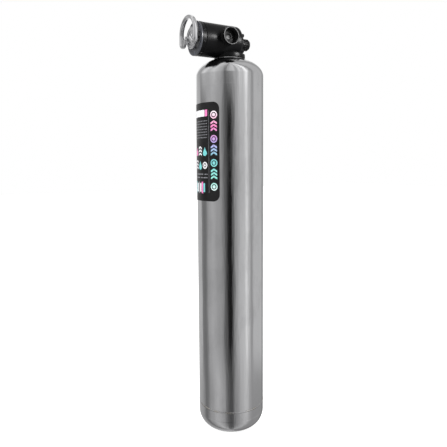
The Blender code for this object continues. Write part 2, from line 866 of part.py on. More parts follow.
def make_spindle(plastic):
    """The stepped shaft that carries the hub in front and drives the moving disc behind."""
    turned(
        "spindle",
        [
            (0, HUB_FRONT + HUB_NUT_HEIGHT / 2),
            (SPINDLE_STUB, HUB_FRONT + HUB_NUT_HEIGHT / 2),
            (SPINDLE_STUB, HUB_REAR - GAP),
            (SPINDLE_RADIUS, HUB_REAR - GAP),
            (SPINDLE_RADIUS, SPINDLE_SHOULDER),
            (SPINDLE_FLANGE_RADIUS, SPINDLE_SHOULDER),
            (SPINDLE_FLANGE_RADIUS, SPINDLE_REAR),
            (0, SPINDLE_REAR),
        ],
        plastic,
        VALVE["handle"],
        SMALL_FACETS,
        ring=False,
    )


def loop_route():
    """The bar's middle line in the handle's plane: hub, corner, side, arch and back."""
    half = LOOP_HALF_WIDTH - BAR_THICKNESS / 2
    arch_rise = LOOP_HALF_WIDTH * ARCH_SHARE
    shoulder = LOOP_TOP - BAR_THICKNESS / 2 - arch_rise
    corner_x, corner_z = half - LOOP_CORNER, LOOP_BOTTOM + LOOP_CORNER + BAR_THICKNESS / 2
    right = [(TAB_REACH, -TAB_HEIGHT / 4)]
    for step in range(CORNER_STEPS + 1):
        turn = math.radians(CORNER_SWEEP * (step / CORNER_STEPS - 1))
        right.append((corner_x + LOOP_CORNER * math.cos(turn), corner_z + LOOP_CORNER * math.sin(turn)))
    arch = []
    for step in range(ARCH_STEPS + 1):
        turn = math.pi * step / ARCH_STEPS
        arch.append((half * math.cos(turn), shoulder + arch_rise * math.sin(turn)))
    left = [(-x, z) for x, z in reversed(right)]
    return right + arch + left


def bar_outline(route, thickness):
    """Both sides of a bar: the route moved half a thickness each way along its own normals."""
    points = [Vector(point) for point in route]
    sides = ([], [])
    for index, point in enumerate(points):
        before = points[max(index - 1, 0)]
        after = points[min(index + 1, len(points) - 1)]
        back, ahead = (point - before), (after - point)
        back = back.normalized() if back.length else ahead.normalized()
        ahead = ahead.normalized() if ahead.length else back
        mean = (back + ahead).normalized()
        normal = Vector((-mean.y, mean.x))
        reach = thickness / 2 / max(mean.dot(ahead), SHARPEST_BEND)
        sides[0].append(point + normal * reach)
        sides[1].append(point - normal * reach)
    return sides


def make_handle(chrome):
    """The hub plate, its nut and the loop of bar whose two tabs pass through the hub."""
    turning = VALVE["handle"]
    hub = turned(
        "hub_plate",
        collar_outline(SPINDLE_STUB + GAP, HUB_RADIUS, HUB_REAR, HUB_FRONT, RIM_BREAK),
        chrome,
        turning,
    )
    loop = bmesh.new()
    outer, inner = bar_outline(loop_route(), BAR_THICKNESS)
    first = [loop.verts.new((x, z, BAR_REAR)) for x, z in outer]
    second = [loop.verts.new((x, z, BAR_REAR)) for x, z in inner]
    ribbon = [
        loop.faces.new((first[i], first[i + 1], second[i + 1], second[i]))
        for i in range(len(first) - 1)
    ]
    lifted = bmesh.ops.extrude_face_region(loop, geom=ribbon, use_keep_orig=True)
    raised = [item for item in lifted["geom"] if isinstance(item, bmesh.types.BMVert)]
    bmesh.ops.translate(loop, vec=(0, 0, BAR_DEPTH), verts=raised)
    handle = finish_mesh("handle_loop", loop, chrome, turning)
    rounding = handle.modifiers.new("bar_rounding", "BEVEL")
    rounding.width = BAR_ROUNDING
    rounding.segments = BAR_ROUND_STEPS
    rounding.limit_method = "ANGLE"
    rounding.angle_limit = math.radians(BAR_EDGE_ANGLE)
    for side, sign in (("right", 1), ("left", -1)):
        x_near, x_far = TAB_REACH - TAB_THICKNESS / 2, TAB_REACH + TAB_THICKNESS / 2
        low_x, high_x = sorted((sign * x_near, sign * x_far))
        tab = block(
            f"{side}_tab",
            (low_x, -TAB_HEIGHT / 2, HUB_REAR + GAP),
            (high_x, TAB_HEIGHT / 2, BAR_FRONT - BAR_DEPTH / 4),
            parent=turning,
        )
        add(handle, tab)
        slot = block(
            f"{side}_slot",
            (low_x - GAP, -TAB_HEIGHT / 2 - GAP, HUB_REAR - OVERCUT),
            (high_x + GAP, TAB_HEIGHT / 2 + GAP, HUB_FRONT + OVERCUT),
            parent=turning,
        )
        cut(hub, slot)
    turned(
        "hub_nut",
        [
            (0, HUB_FRONT + GAP + HUB_NUT_HEIGHT),
            (HUB_NUT_RADIUS - 2 * RIM_BREAK, HUB_FRONT + GAP + HUB_NUT_HEIGHT),
            (HUB_NUT_RADIUS, HUB_FRONT + HUB_NUT_HEIGHT - RIM_BREAK),
            (HUB_NUT_RADIUS, HUB_FRONT + GAP),
            (SPINDLE_STUB + GAP, HUB_FRONT + GAP),
            (SPINDLE_STUB + GAP, HUB_FRONT + GAP + HUB_NUT_HEIGHT / 2),
            (0, HUB_FRONT + GAP + HUB_NUT_HEIGHT / 2),
        ],
        chrome,
        turning,
        SMALL_FACETS,
        ring=False,
    )


def make_drain(plastic, nut_plastic, rubber, steel):
    """The rear cover with its spigot, gasket and screws, and the union that takes a drain hose."""
    axis = VALVE["axis"]
    gasket = turned(
        "cover_gasket",
        collar_outline(
            DRAIN_PORT + GAP, COVER_RADIUS, BODY_REAR - GAP - COVER_GASKET, BODY_REAR - GAP
        ),
        rubber,
        axis,
    )
    cover = turned(
        "rear_cover",
        [
            (DRAIN_PORT, COVER_FRONT),
            (COVER_RADIUS, COVER_FRONT),
            (COVER_RADIUS, COVER_REAR + RIM_BREAK),
            (COVER_RADIUS - RIM_BREAK, COVER_REAR),
            (SPIGOT_RADIUS, COVER_REAR),
            (SPIGOT_RADIUS, SPIGOT_END),
            (DRAIN_PORT, SPIGOT_END),
        ],
        plastic,
        axis,
    )
    for index, (x, z) in enumerate(cover_screw_places()):
        for layer, name in ((gasket, "gasket"), (cover, "cover")):
            hole = rod(
                f"{name}_clear_{index}",
                COVER_SCREW_SHANK + GAP,
                COVER_REAR - OVERCUT,
                BODY_REAR + OVERCUT,
                None,
                axis,
                SCREW_FACETS,
            )
            hole.location = (x, z, 0)
            cut(layer, hole)
        cap = screw(
            f"cover_screw_{index + 1}",
            (0, 0),
            GAP,
            COVER_SCREW_SHANK,
            COVER_SCREW_LENGTH,
            COVER_SCREW_HEAD,
            COVER_SCREW_HEIGHT,
            steel,
            axis,
            CAP_FACETS,
        )
        cap.location = (x, z, COVER_REAR)
        cap.rotation_euler = (math.pi, 0, 0)

    washer_rear = SPIGOT_END - GAP - TAIL_WASHER
    washer = collar_outline(TAIL_BORE, SPIGOT_RADIUS - GAP, washer_rear, SPIGOT_END - GAP)
    turned("drain_washer", washer, rubber, axis, SMALL_FACETS)
    flange_front = washer_rear - GAP
    flange_rear = flange_front - TAIL_FLANGE
    turned(
        "drain_tail",
        [
            (TAIL_BORE, flange_front),
            (SPIGOT_RADIUS - GAP, flange_front),
            (SPIGOT_RADIUS - GAP, flange_rear),
            (TAIL_RADIUS, flange_rear),
            (TAIL_RADIUS, -TAIL_END),
            (TAIL_BORE, -TAIL_END),
        ],
        plastic,
        axis,
        SMALL_FACETS,
    )
    shoulder_front = flange_rear - GAP
    nut_front = COVER_REAR - DRAIN_NUT_STANDOFF
    nut_rear = shoulder_front - 2 * DRAIN_NUT_WALL
    ribbed = DRAIN_NUT_RADIUS - RIM_BREAK
    nut = turned(
        "drain_nut",
        [
            (SPIGOT_RADIUS + GAP, nut_front),
            (ribbed, nut_front),
            (ribbed, nut_rear + RIM_BREAK),
            (ribbed - RIM_BREAK, nut_rear),
            (TAIL_RADIUS + GAP, nut_rear),
            (TAIL_RADIUS + GAP, shoulder_front),
            (SPIGOT_RADIUS + GAP, shoulder_front),
        ],
        nut_plastic,
        axis,
    )
    for index in range(DRAIN_NUT_RIBS):
        rib = block(
            f"drain_rib_{index}",
            (SPIGOT_RADIUS + 2 * GAP, -RIM_BREAK, nut_rear + 2 * RIM_BREAK),
            (DRAIN_NUT_RADIUS, RIM_BREAK, nut_front - 2 * RIM_BREAK),
            parent=axis,
        )
        rib.rotation_euler = (0, 0, math.tau * index / DRAIN_NUT_RIBS)
        add(nut, rib)


def main():
    clear_scene()
    upright_turn = (math.pi / 2, 0, 0)
    VALVE["axis"] = empty("valve_axis", (0, 0, VALVE_HEIGHT), upright_turn)
    VALVE["handle"] = empty("handle_axis", (0, 0, VALVE_HEIGHT), upright_turn)

    steel = material("polished_steel", (0.62, 0.62, 0.63), 0.16, 1.0)
    weld_steel = material("weld_steel", (0.55, 0.55, 0.56), 0.30, 1.0)
    chrome = material("chrome", (0.80, 0.80, 0.81), 0.08, 1.0)
    black = material("black_plastic", (0.020, 0.020, 0.021), 0.38)
    nut_black = material("nut_plastic", (0.016, 0.016, 0.017), 0.45)
    dial_grey = material("dial_plastic", (0.55, 0.56, 0.62), 0.45)
    film = material("label_film", (0.012, 0.012, 0.013), 0.30)
    white = material("white_pipe", (0.80, 0.80, 0.78), 0.45)
    strainer = material("strainer_plastic", (0.10, 0.14, 0.30), 0.50)
    gravel = material("quartz_gravel", (0.45, 0.38, 0.30), 0.90)
    media = material("filter_grains", (0.30, 0.26, 0.20), 0.95)
    ceramic = material("ceramic", (0.82, 0.81, 0.78), 0.20)
    rubber = material("seal_rubber", (0.018, 0.018, 0.018), 0.75)
    nylon = material("nylon", (0.75, 0.74, 0.70), 0.50)
    screw_steel = material("screw_steel", (0.50, 0.50, 0.51), 0.30, 1.0)
    dark_screw = material("dark_screw", (0.03, 0.03, 0.03), 0.40, 0.5)

    make_vessel(steel, weld_steel)
    make_label(film)
    make_inside(white, strainer, gravel, media)
    make_body(black)
    make_neck_seals(rubber)
    make_bonnet(black, nut_black, dial_grey, screw_steel, rubber)
    make_discs(ceramic, rubber, nylon)
    make_spindle(white)
    make_handle(chrome)
    make_drain(black, nut_black, rubber, dark_screw)


main()
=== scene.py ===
# %% [markdown]
# # A stainless filter vessel with a hand-turned valve
# The vessel is a tall steel tube closed by two pressed heads. A black moulded valve lies across its
# neck: a chrome loop handle in front turns a shaft, and the shaft turns a ceramic disc inside.
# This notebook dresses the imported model. Each outside piece is made again with fine curves, and each
# inside piece keeps its own mesh and gets a finish of its own.

# %% Load the frame
import json
import math

import bmesh
import bpy
from mathutils import Matrix, Quaternion, Vector


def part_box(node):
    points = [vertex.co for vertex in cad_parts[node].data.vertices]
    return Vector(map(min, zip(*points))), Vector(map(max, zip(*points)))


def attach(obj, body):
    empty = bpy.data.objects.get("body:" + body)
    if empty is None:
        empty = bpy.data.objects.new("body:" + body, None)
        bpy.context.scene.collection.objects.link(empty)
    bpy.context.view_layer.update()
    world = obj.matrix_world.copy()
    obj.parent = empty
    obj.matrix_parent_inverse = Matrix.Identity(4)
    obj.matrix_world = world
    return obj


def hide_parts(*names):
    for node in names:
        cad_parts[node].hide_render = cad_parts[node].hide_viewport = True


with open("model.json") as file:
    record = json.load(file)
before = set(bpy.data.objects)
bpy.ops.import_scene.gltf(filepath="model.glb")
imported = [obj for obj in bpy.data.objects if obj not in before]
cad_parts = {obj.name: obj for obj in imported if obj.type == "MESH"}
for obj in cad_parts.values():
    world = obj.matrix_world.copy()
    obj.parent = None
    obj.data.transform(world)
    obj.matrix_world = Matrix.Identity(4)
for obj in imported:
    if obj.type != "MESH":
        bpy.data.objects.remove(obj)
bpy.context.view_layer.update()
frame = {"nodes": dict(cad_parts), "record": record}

# %% [markdown]
# ## Camera
# A camera looks along its own -Z. Its place is given by a turn round the vessel, a distance and a
# height. A small shift slides the picture without tilting it, so the upright sides stay upright.

# %% Place the camera
CAMERA_TURN = math.radians(60.0)
CAMERA_DISTANCE = 1.4788
CAMERA_HEIGHT = 0.8316
CAMERA_PITCH = math.radians(-4.82)
CAMERA_ROLL = math.radians(-0.28)
CAMERA_LENS = 38.56
CAMERA_SHIFT = (-0.0152, -0.0481)

scene = bpy.context.scene
lens = bpy.data.cameras.new("studio_camera")
lens.lens = CAMERA_LENS
lens.shift_x, lens.shift_y = CAMERA_SHIFT
camera = bpy.data.objects.new("studio_camera", lens)
scene.collection.objects.link(camera)
scene.camera = camera
outward = Vector((math.sin(CAMERA_TURN), -math.cos(CAMERA_TURN), 0))
looking = -outward * math.cos(CAMERA_PITCH) + Vector((0, 0, math.sin(CAMERA_PITCH)))
camera.location = outward * CAMERA_DISTANCE + Vector((0, 0, CAMERA_HEIGHT))
camera.rotation_mode = "QUATERNION"
camera.rotation_quaternion = looking.to_track_quat("-Z", "Y") @ Quaternion((0, 0, 1), CAMERA_ROLL)
scene.view_settings.view_transform = "Standard"
print("camera at", [round(value, 3) for value in camera.location])

# %% [markdown]
# ## Node helpers
# A material is a small graph. `wire` adds one node and fills its sockets, with a number, a colour or
# another node's output, so each finish below reads as one short list of steps.

# %% Node helpers
def wire(tree, kind, sockets=None, **settings):
    """Adds a node, sets its properties, and sets or links its input sockets by name or number."""
    made = tree.nodes.new(f"ShaderNode{kind}")
    for name, value in settings.items():
        setattr(made, name, value)
    for name, value in (sockets or {}).items():
        if isinstance(value, bpy.types.NodeSocket):
            tree.links.new(value, made.inputs[name])
        else:
            made.inputs[name].default_value = value
    return made


def sums(tree, operation, first, second=0.0, clamp=False):
    """One Math node's result."""
    made = wire(tree, "Math", {0: first, 1: second}, operation=operation, use_clamp=clamp)
    return made.outputs[0]


def ramp(tree, factor, stops, interpolation="LINEAR"):
    """A colour ramp from (place, grey or colour) stops."""
    made = wire(tree, "ValToRGB", {0: factor})
    band = made.color_ramp
    band.interpolation = interpolation
    while len(band.elements) < len(stops):
        band.elements.new(0.5)
    for element, (place, shade) in zip(band.elements, stops):
        element.position = place
        colour = shade if isinstance(shade, tuple) else (shade, shade, shade)
        element.color = (*colour, 1.0)
    return made.outputs[0]


def blended(tree, factor, first, second):
    """A mix of two colours; each is a socket or a colour."""
    made = wire(tree, "MixRGB", {0: factor, 1: first, 2: second})
    return made.outputs[0]


def opaque(colour):
    return (*colour, 1.0)


print("node helpers ready")

# %% [markdown]
# ## Studio light
# Polished steel shows its surroundings more than its own colour. In a studio, tall soft boxes and
# dark flags stand round such a vessel, and each shows as one upright streak. Here the world does
# that work: three rings of (turn, brightness) stops, for light from above, level and below, mixed by
# the height of the ray. The camera itself sees plain white behind the object.

# %% World with soft boxes
LEVEL_LIGHT = [
    (-92, 0.62), (-64, 0.60), (-54, 0.25), (-38, 0.22), (-18, 0.48), (-5, 0.54), (26, 0.42),
    (46, 0.12), (54, 0.02), (62, 0.01), (69, 0.16), (80, 0.45), (96, 0.65), (109, 0.70),
    (118, 1.00), (127, 0.66), (140, 0.40), (150, 0.64), (192, 0.62), (215, 0.26), (236, 0.90),
]
UPPER_LIGHT = [
    (-85, 0.56), (-62, 0.46), (-36, 1.05), (-19, 0.70), (-2, 0.84), (28, 0.61), (44, 0.24),
    (60, 0.69), (70, 0.80), (84, 0.51), (93, 1.00), (103, 0.73), (118, 1.45), (128, 0.66),
    (139, 0.38), (153, 0.62), (190, 0.63), (215, 0.40), (236, 1.10),
]
LOWER_LIGHT = [
    (-80, 0.45), (-58, 0.41), (-37, 0.20), (-12, 0.44), (12, 0.62), (34, 0.48), (49, 0.20),
    (59, 0.10), (66, 0.13), (80, 0.37), (102, 0.57), (114, 0.68), (134, 0.44), (146, 0.37),
    (190, 0.35), (215, 0.20), (236, 0.55),
]
RING_START = -90.0
LIGHT_RANGE = 1.5


def light_ring(tree, turn, stops):
    places = sorted((((angle - RING_START) % 360) / 360, level) for angle, level in stops)
    shade = ramp(tree, turn, [(place, level / LIGHT_RANGE) for place, level in places], "EASE")
    return shade


world = bpy.data.worlds.new("studio_world")
scene.world = world
world.use_nodes = True
sky = world.node_tree
sky.nodes.clear()
ray = wire(sky, "TexCoord").outputs["Generated"]
turn = wire(sky, "TexGradient", {"Vector": ray}, gradient_type="RADIAL").outputs[1]
rise = wire(sky, "SeparateXYZ", {0: ray}).outputs[2]
high = ramp(sky, sums(sky, "ADD", rise, 0.5), [(0.50, 0.0), (0.58, 0.0), (0.77, 1.0)], "EASE")
low = ramp(sky, sums(sky, "ADD", rise, 0.5), [(0.02, 1.0), (0.06, 0.9), (0.14, 0.0)], "EASE")
rings = blended(sky, high, light_ring(sky, turn, LEVEL_LIGHT), light_ring(sky, turn, UPPER_LIGHT))
rings = blended(sky, low, rings, light_ring(sky, turn, LOWER_LIGHT))
boxes = wire(sky, "Background", {"Color": rings, "Strength": LIGHT_RANGE})
white = wire(sky, "Background", {"Color": (1, 1, 1, 1), "Strength": 1.0})
seen = wire(sky, "LightPath").outputs["Is Camera Ray"]
mixed = wire(sky, "MixShader", {0: seen, 1: boxes.outputs[0], 2: white.outputs[0]})
wire(sky, "OutputWorld", {0: mixed.outputs[0]})
print("soft boxes:", len(LEVEL_LIGHT), "stops level,", len(UPPER_LIGHT), "above")

# %% [markdown]
# Soft area lamps light the label and the black plastic, which scatter light instead of mirroring it.
# They are hidden from reflections, so the steel keeps the streaks of the soft boxes alone. One more
# lamp is linked to the black plastic only, and puts a soft highlight along the valve.

# %% Lamps
LAMPS = [
    ("key_lamp", (1.6, -1.9, 2.2), 1.4, 34.0),
    ("fill_lamp", (-1.8, -1.2, 1.2), 1.6, 14.0),
    ("top_lamp", (0.3, 0.4, 2.9), 1.2, 18.0),
    ("back_lamp", (0.6, 2.2, 1.6), 1.4, 12.0),
]
VESSEL_MIDDLE = Vector((0, 0, 0.9))
VALVE_MIDDLE = Vector((0, -0.06, 1.19))
GLOSS_PLACE, GLOSS_WIDTH, GLOSS_HEIGHT, GLOSS_WATTS = (1.72, 0.90, 1.66), 0.8, 0.42, 74.0


def lamp_stand(name, lamp, place, aim):
    """An area lamp's object, turned to face a point."""
    stand = bpy.data.objects.new(name, lamp)
    stand.location = place
    stand.rotation_euler = (aim - stand.location).to_track_quat("-Z", "Y").to_euler()
    scene.collection.objects.link(stand)
    return stand


for name, place, size, watts in LAMPS:
    lamp = bpy.data.lights.new(name, "AREA")
    lamp.size, lamp.energy = size, watts
    lamp_stand(name, lamp, place, VESSEL_MIDDLE).visible_glossy = False

gloss = bpy.data.lights.new("gloss_lamp", "AREA")
gloss.shape, gloss.energy = "RECTANGLE", GLOSS_WATTS
gloss.size, gloss.size_y = GLOSS_WIDTH, GLOSS_HEIGHT
gloss_stand = lamp_stand("gloss_lamp", gloss, GLOSS_PLACE, VALVE_MIDDLE)
glossy_pieces = bpy.data.collections.new("glossy_plastic_pieces")
gloss_stand.light_linking.receiver_collection = glossy_pieces
print("lamps:", len(LAMPS) + 1)

# %% [markdown]
# ## Effects shared by the finishes
# Each effect is a node group, built once. It puts out only masks and heights; the shader stays in
# the material. Polishing leaves fine upright lines and a slow waviness; moulded plastic has a fine
# grain; hands and parcels rub the edges; dust settles on what faces up.

# %% Effect groups
def effect(name, inputs, outputs):
    """An empty node group with float inputs and outputs and Object coordinates inside."""
    group = bpy.data.node_groups.new(name, "ShaderNodeTree")
    for socket, value in inputs.items():
        made = group.interface.new_socket(socket, in_out="INPUT", socket_type="NodeSocketFloat")
        made.default_value = value
    for socket in outputs:
        group.interface.new_socket(socket, in_out="OUTPUT", socket_type="NodeSocketFloat")
    entry, leave = group.nodes.new("NodeGroupInput"), group.nodes.new("NodeGroupOutput")
    place = wire(group, "TexCoord").outputs["Object"]
    return group, entry.outputs, leave.inputs, place


def noise(tree, place, scale, stretch=(1, 1, 1), detail=2.0, roughness=0.5):
    """Noise whose pattern is stretched along the axes."""
    mapped = wire(tree, "Mapping", {"Vector": place, "Scale": stretch})
    made = wire(
        tree,
        "TexNoise",
        {"Vector": mapped.outputs[0], "Scale": scale, "Detail": detail, "Roughness": roughness},
    )
    return made.outputs[0]


def polishing_lines():
    """Fine lines and slow waves along Z, and smudges."""
    group, given, result, place = effect(
        "polishing_lines", {"Line Scale": 900.0, "Wave Scale": 9.0}, ("Lines", "Waves", "Smudge")
    )
    lines = noise(group, place, given["Line Scale"], (1, 1, 0.012), 3.0)
    slow = noise(group, place, given["Wave Scale"], (1, 1, 0.22), 1.0)
    quick = noise(group, place, 46.0, (1, 1, 0.10), 3.0, 0.6)
    waves = sums(group, "ADD", slow, sums(group, "MULTIPLY", quick, 0.32))
    patches = noise(group, place, 14.0, (1, 1, 0.5), 4.0, 0.6)
    smudge = ramp(group, patches, [(0.48, 0.0), (0.72, 1.0)])
    for socket, value in (("Lines", lines), ("Waves", waves), ("Smudge", smudge)):
        group.links.new(value, result[socket])
    return group


def moulded_grain():
    """The sparked grain of a plastic mould, and broad patches of duller skin."""
    group, given, result, place = effect(
        "moulded_grain", {"Grain Scale": 900.0}, ("Height", "Patch")
    )
    fine = noise(group, place, given["Grain Scale"], detail=2.0)
    broad = noise(group, place, 22.0, detail=3.0)
    group.links.new(fine, result["Height"])
    group.links.new(ramp(group, broad, [(0.35, 0.0), (0.70, 1.0)]), result["Patch"])
    return group


def edge_wear():
    """A mask along rubbed edges: where a rounded normal leaves the true one."""
    group, given, result, place = effect("edge_wear", {"Radius": 0.0008, "Amount": 0.6}, ("Mask",))
    rounded = wire(group, "Bevel", {"Radius": given["Radius"]}, samples=4)
    true = wire(group, "NewGeometry").outputs["Normal"]
    agree = wire(group, "VectorMath", {0: rounded.outputs[0], 1: true}, operation="DOT_PRODUCT")
    bend = sums(group, "SUBTRACT", 1.0, agree.outputs["Value"])
    rub = noise(group, place, 160.0, detail=4.0, roughness=0.7)
    rubbed = sums(group, "MULTIPLY", sums(group, "MULTIPLY", bend, 12.0, True), rub)
    group.links.new(sums(group, "MULTIPLY", rubbed, given["Amount"], True), result["Mask"])
    return group


def settled_dust():
    """A mask of specks on faces that look up."""
    group, given, result, place = effect("settled_dust", {"Amount": 0.4}, ("Mask",))
    facing = wire(group, "SeparateXYZ", {0: wire(group, "NewGeometry").outputs["Normal"]})
    upward = ramp(group, facing.outputs[2], [(0.25, 0.0), (0.95, 1.0)])
    specks = ramp(group, noise(group, place, 420.0, detail=3.0), [(0.52, 0.0), (0.75, 1.0)])
    mask = sums(group, "MULTIPLY", sums(group, "MULTIPLY", upward, specks), given["Amount"])
    group.links.new(mask, result["Mask"])
    return group


POLISH, GRAIN, WEAR, DUST = polishing_lines(), moulded_grain(), edge_wear(), settled_dust()
print("effects:", ", ".join(group.name for group in (POLISH, GRAIN, WEAR, DUST)))

# %% [markdown]
# A finish starts as a Principled shader. `starts` makes one, `use` places an effect group in it, and
# `bumps` turns a height into a small tilt of the surface normal, in metres.

# %% Finish helpers
def starts(name, metallic=0.0, **constants):
    """A new material's node tree and shader, with constants on the shader's own sockets."""
    made = bpy.data.materials.new(name)
    made.use_nodes = True
    shader = made.node_tree.nodes["Principled BSDF"]
    shader.inputs["Metallic"].default_value = metallic
    for socket, value in constants.items():
        shader.inputs[socket.replace("_", " ")].default_value = value
    return made, made.node_tree, shader


def use(tree, group, **values):
    """One effect group in a material; returns its outputs."""
    made = tree.nodes.new("ShaderNodeGroup")
    made.node_tree = group
    for socket, value in values.items():
        made.inputs[socket.replace("_", " ")].default_value = value
    return made.outputs


def bumps(tree, shader, layers):
    """Chains Bump nodes from (height, distance, strength) layers into the shader's Normal."""
    normal = None
    for height, distance, strength in layers:
        made = wire(tree, "Bump", {"Height": height, "Distance": distance, "Strength": strength})
        if normal is not None:
            tree.links.new(normal, made.inputs["Normal"])
        normal = made.outputs[0]
    tree.links.new(normal, shader.inputs["Normal"])


def varies(tree, base, steps):
    """A value that starts at base and adds (mask, share) steps."""
    total = base
    for mask, share in steps:
        total = sums(tree, "ADD", total, sums(tree, "MULTIPLY", mask, share))
    return total


def object_place(tree):
    return wire(tree, "TexCoord").outputs["Object"]


print("finish helpers ready")

# %% [markdown]
# ## Metals
# The vessel is polished stainless sheet: a near mirror with upright polishing lines, a slow
# waviness where the sheet was rolled, and faint smudges. The weld is ground but keeps a straw tint.
# Chrome is brighter and smoother, with hairline scratches. Screws are duller.

# %% Metal finishes
def metal(name, colour, roughness, lines, waves, smudge, line_scale=900.0, scratches=0.0):
    """A metal with polishing lines, waves and smudges, each as strong as its share says."""
    made, tree, shader = starts(name, 1.0)
    polish = use(tree, POLISH, Line_Scale=line_scale)
    dull = tuple(channel * 0.86 for channel in colour)
    shade = blended(tree, polish["Smudge"], opaque(colour), opaque(dull))
    wear = use(tree, WEAR, Radius=0.0006, Amount=0.5)["Mask"]
    shade = blended(tree, wear, shade, opaque(tuple(min(1, c * 1.25) for c in colour)))
    rough = varies(tree, roughness, [(polish["Smudge"], smudge), (polish["Lines"], lines)])
    layers = [(polish["Waves"], 0.004, waves), (polish["Lines"], 0.00004, 0.5)]
    if scratches:
        place = object_place(tree)
        web = noise(tree, place, 240.0, (1, 0.03, 1), 5.0, 0.8)
        hair = ramp(tree, web, [(0.60, 0.0), (0.66, 1.0)])
        rough = sums(tree, "ADD", rough, sums(tree, "MULTIPLY", hair, scratches))
        layers.append((hair, 0.00002, 0.4))
    tree.links.new(shade, shader.inputs["Base Color"])
    tree.links.new(rough, shader.inputs["Roughness"])
    bumps(tree, shader, layers)
    return made


def weld_metal():
    """Ground weld: ripples round the seam and a warm heat tint in patches."""
    made, tree, shader = starts("weld_bead_steel", 1.0)
    place = object_place(tree)
    heat = ramp(tree, noise(tree, place, 30.0, detail=3.0), [(0.42, 0.0), (0.70, 1.0)])
    shade = blended(tree, heat, (0.60, 0.60, 0.61, 1), (0.62, 0.56, 0.46, 1))
    ripple = noise(tree, place, 420.0, (1, 1, 0.2), 1.0)
    tree.links.new(shade, shader.inputs["Base Color"])
    tree.links.new(varies(tree, 0.24, [(heat, 0.14)]), shader.inputs["Roughness"])
    bumps(tree, shader, [(ripple, 0.0006, 0.6)])
    return made


def blackened_metal():
    """Oil-blackened screw steel that shows bright metal on its corners."""
    made, tree, shader = starts("blackened_steel", 0.7)
    wear = use(tree, WEAR, Radius=0.0005, Amount=0.9)["Mask"]
    grain = use(tree, GRAIN, Grain_Scale=1500.0)
    shade = blended(tree, wear, (0.022, 0.022, 0.024, 1), (0.42, 0.41, 0.40, 1))
    tree.links.new(shade, shader.inputs["Base Color"])
    tree.links.new(varies(tree, 0.34, [(grain["Patch"], 0.14)]), shader.inputs["Roughness"])
    bumps(tree, shader, [(grain["Height"], 0.00004, 0.5)])
    return made


FINISH = {
    "tank_steel": metal("polished_stainless", (0.66, 0.66, 0.67), 0.060, 0.06, 0.46, 0.12),
    "weld_steel": weld_metal(),
    "chrome": metal("chrome_plate", (0.70, 0.70, 0.71), 0.03, 0.02, 0.05, 0.05, 400.0, 0.06),
    "screw_steel": metal("zinc_screw_steel", (0.56, 0.56, 0.57), 0.24, 0.12, 0.05, 0.08, 1500.0),
    "dark_screw": blackened_metal(),
}
print("metals:", ", ".join(FINISH))

# %% [markdown]
# ## Plastics, rubber and ceramic
# Moulded plastic takes the sparked grain of its mould, goes paler on rubbed edges and collects dust
# on top. One function serves every plastic here; only the colour, gloss and grain change.

# %% Moulded finishes
def moulded(
    name, colour, roughness, worn, grain_scale=900.0, grain=0.00008, wear=0.5, dust=0.3, shine=0.42
):
    made, tree, shader = starts(name, Specular_IOR_Level=shine)
    skin = use(tree, GRAIN, Grain_Scale=grain_scale)
    rubbed = use(tree, WEAR, Amount=wear)["Mask"]
    dusty = use(tree, DUST, Amount=dust)["Mask"]
    dull = tuple(channel * 1.22 for channel in colour)
    shade = blended(tree, skin["Patch"], opaque(colour), opaque(dull))
    shade = blended(tree, rubbed, shade, opaque(worn))
    shade = blended(tree, dusty, shade, (0.42, 0.41, 0.39, 1))
    tree.links.new(shade, shader.inputs["Base Color"])
    rough = varies(tree, roughness, [(skin["Patch"], 0.10), (rubbed, -0.12), (dusty, 0.4)])
    tree.links.new(rough, shader.inputs["Roughness"])
    bumps(tree, shader, [(skin["Height"], grain, 0.6)])
    return made


def soft_rubber():
    """Matt rubber with a bloom of pale dust from its mould."""
    made, tree, shader = starts("seal_rubber_black")
    skin = use(tree, GRAIN, Grain_Scale=1300.0)
    shade = blended(tree, skin["Patch"], (0.016, 0.016, 0.016, 1), (0.045, 0.044, 0.043, 1))
    tree.links.new(shade, shader.inputs["Base Color"])
    tree.links.new(varies(tree, 0.66, [(skin["Patch"], 0.2)]), shader.inputs["Roughness"])
    bumps(tree, shader, [(skin["Height"], 0.00006, 0.6)])
    return made


def lapped_ceramic():
    """White alumina, lapped flat, with faint grey lapping arcs and specks."""
    made, tree, shader = starts("lapped_ceramic")
    place = object_place(tree)
    arcs = noise(tree, place, 700.0, (1, 1, 0.05), 3.0)
    specks = ramp(tree, noise(tree, place, 900.0, detail=1.0), [(0.66, 0.0), (0.72, 1.0)])
    shade = blended(tree, specks, (0.84, 0.83, 0.80, 1), (0.55, 0.54, 0.52, 1))
    tree.links.new(shade, shader.inputs["Base Color"])
    tree.links.new(varies(tree, 0.14, [(arcs, 0.12)]), shader.inputs["Roughness"])
    bumps(tree, shader, [(arcs, 0.00001, 0.5)])
    return made


FINISH.update(
    valve_plastic=moulded(
        "black_moulding", (0.0018, 0.0018, 0.0020), 0.30, (0.03, 0.03, 0.03), dust=0.02, shine=0.12
    ),
    nut_plastic=moulded(
        "black_nut_moulding", (0.0018, 0.0018, 0.0020), 0.30, (0.04, 0.04, 0.04), dust=0.02, shine=0.12
    ),
    dial_plastic=moulded(
        "grey_dial_moulding", (0.030, 0.031, 0.036), 0.24, (0.12, 0.12, 0.14), 1200.0, 0.00005, dust=0.1
    ),
    pipe_plastic=moulded("white_pipe", (0.78, 0.78, 0.75), 0.38, (0.90, 0.90, 0.88), 700.0),
    strainer_plastic=moulded("blue_strainer", (0.07, 0.12, 0.32), 0.42, (0.30, 0.36, 0.55), 800.0),
    nylon=moulded("natural_nylon", (0.74, 0.72, 0.66), 0.45, (0.85, 0.84, 0.80), 800.0),
    rubber=soft_rubber(),
    ceramic=lapped_ceramic(),
)
print("finishes so far:", len(FINISH))

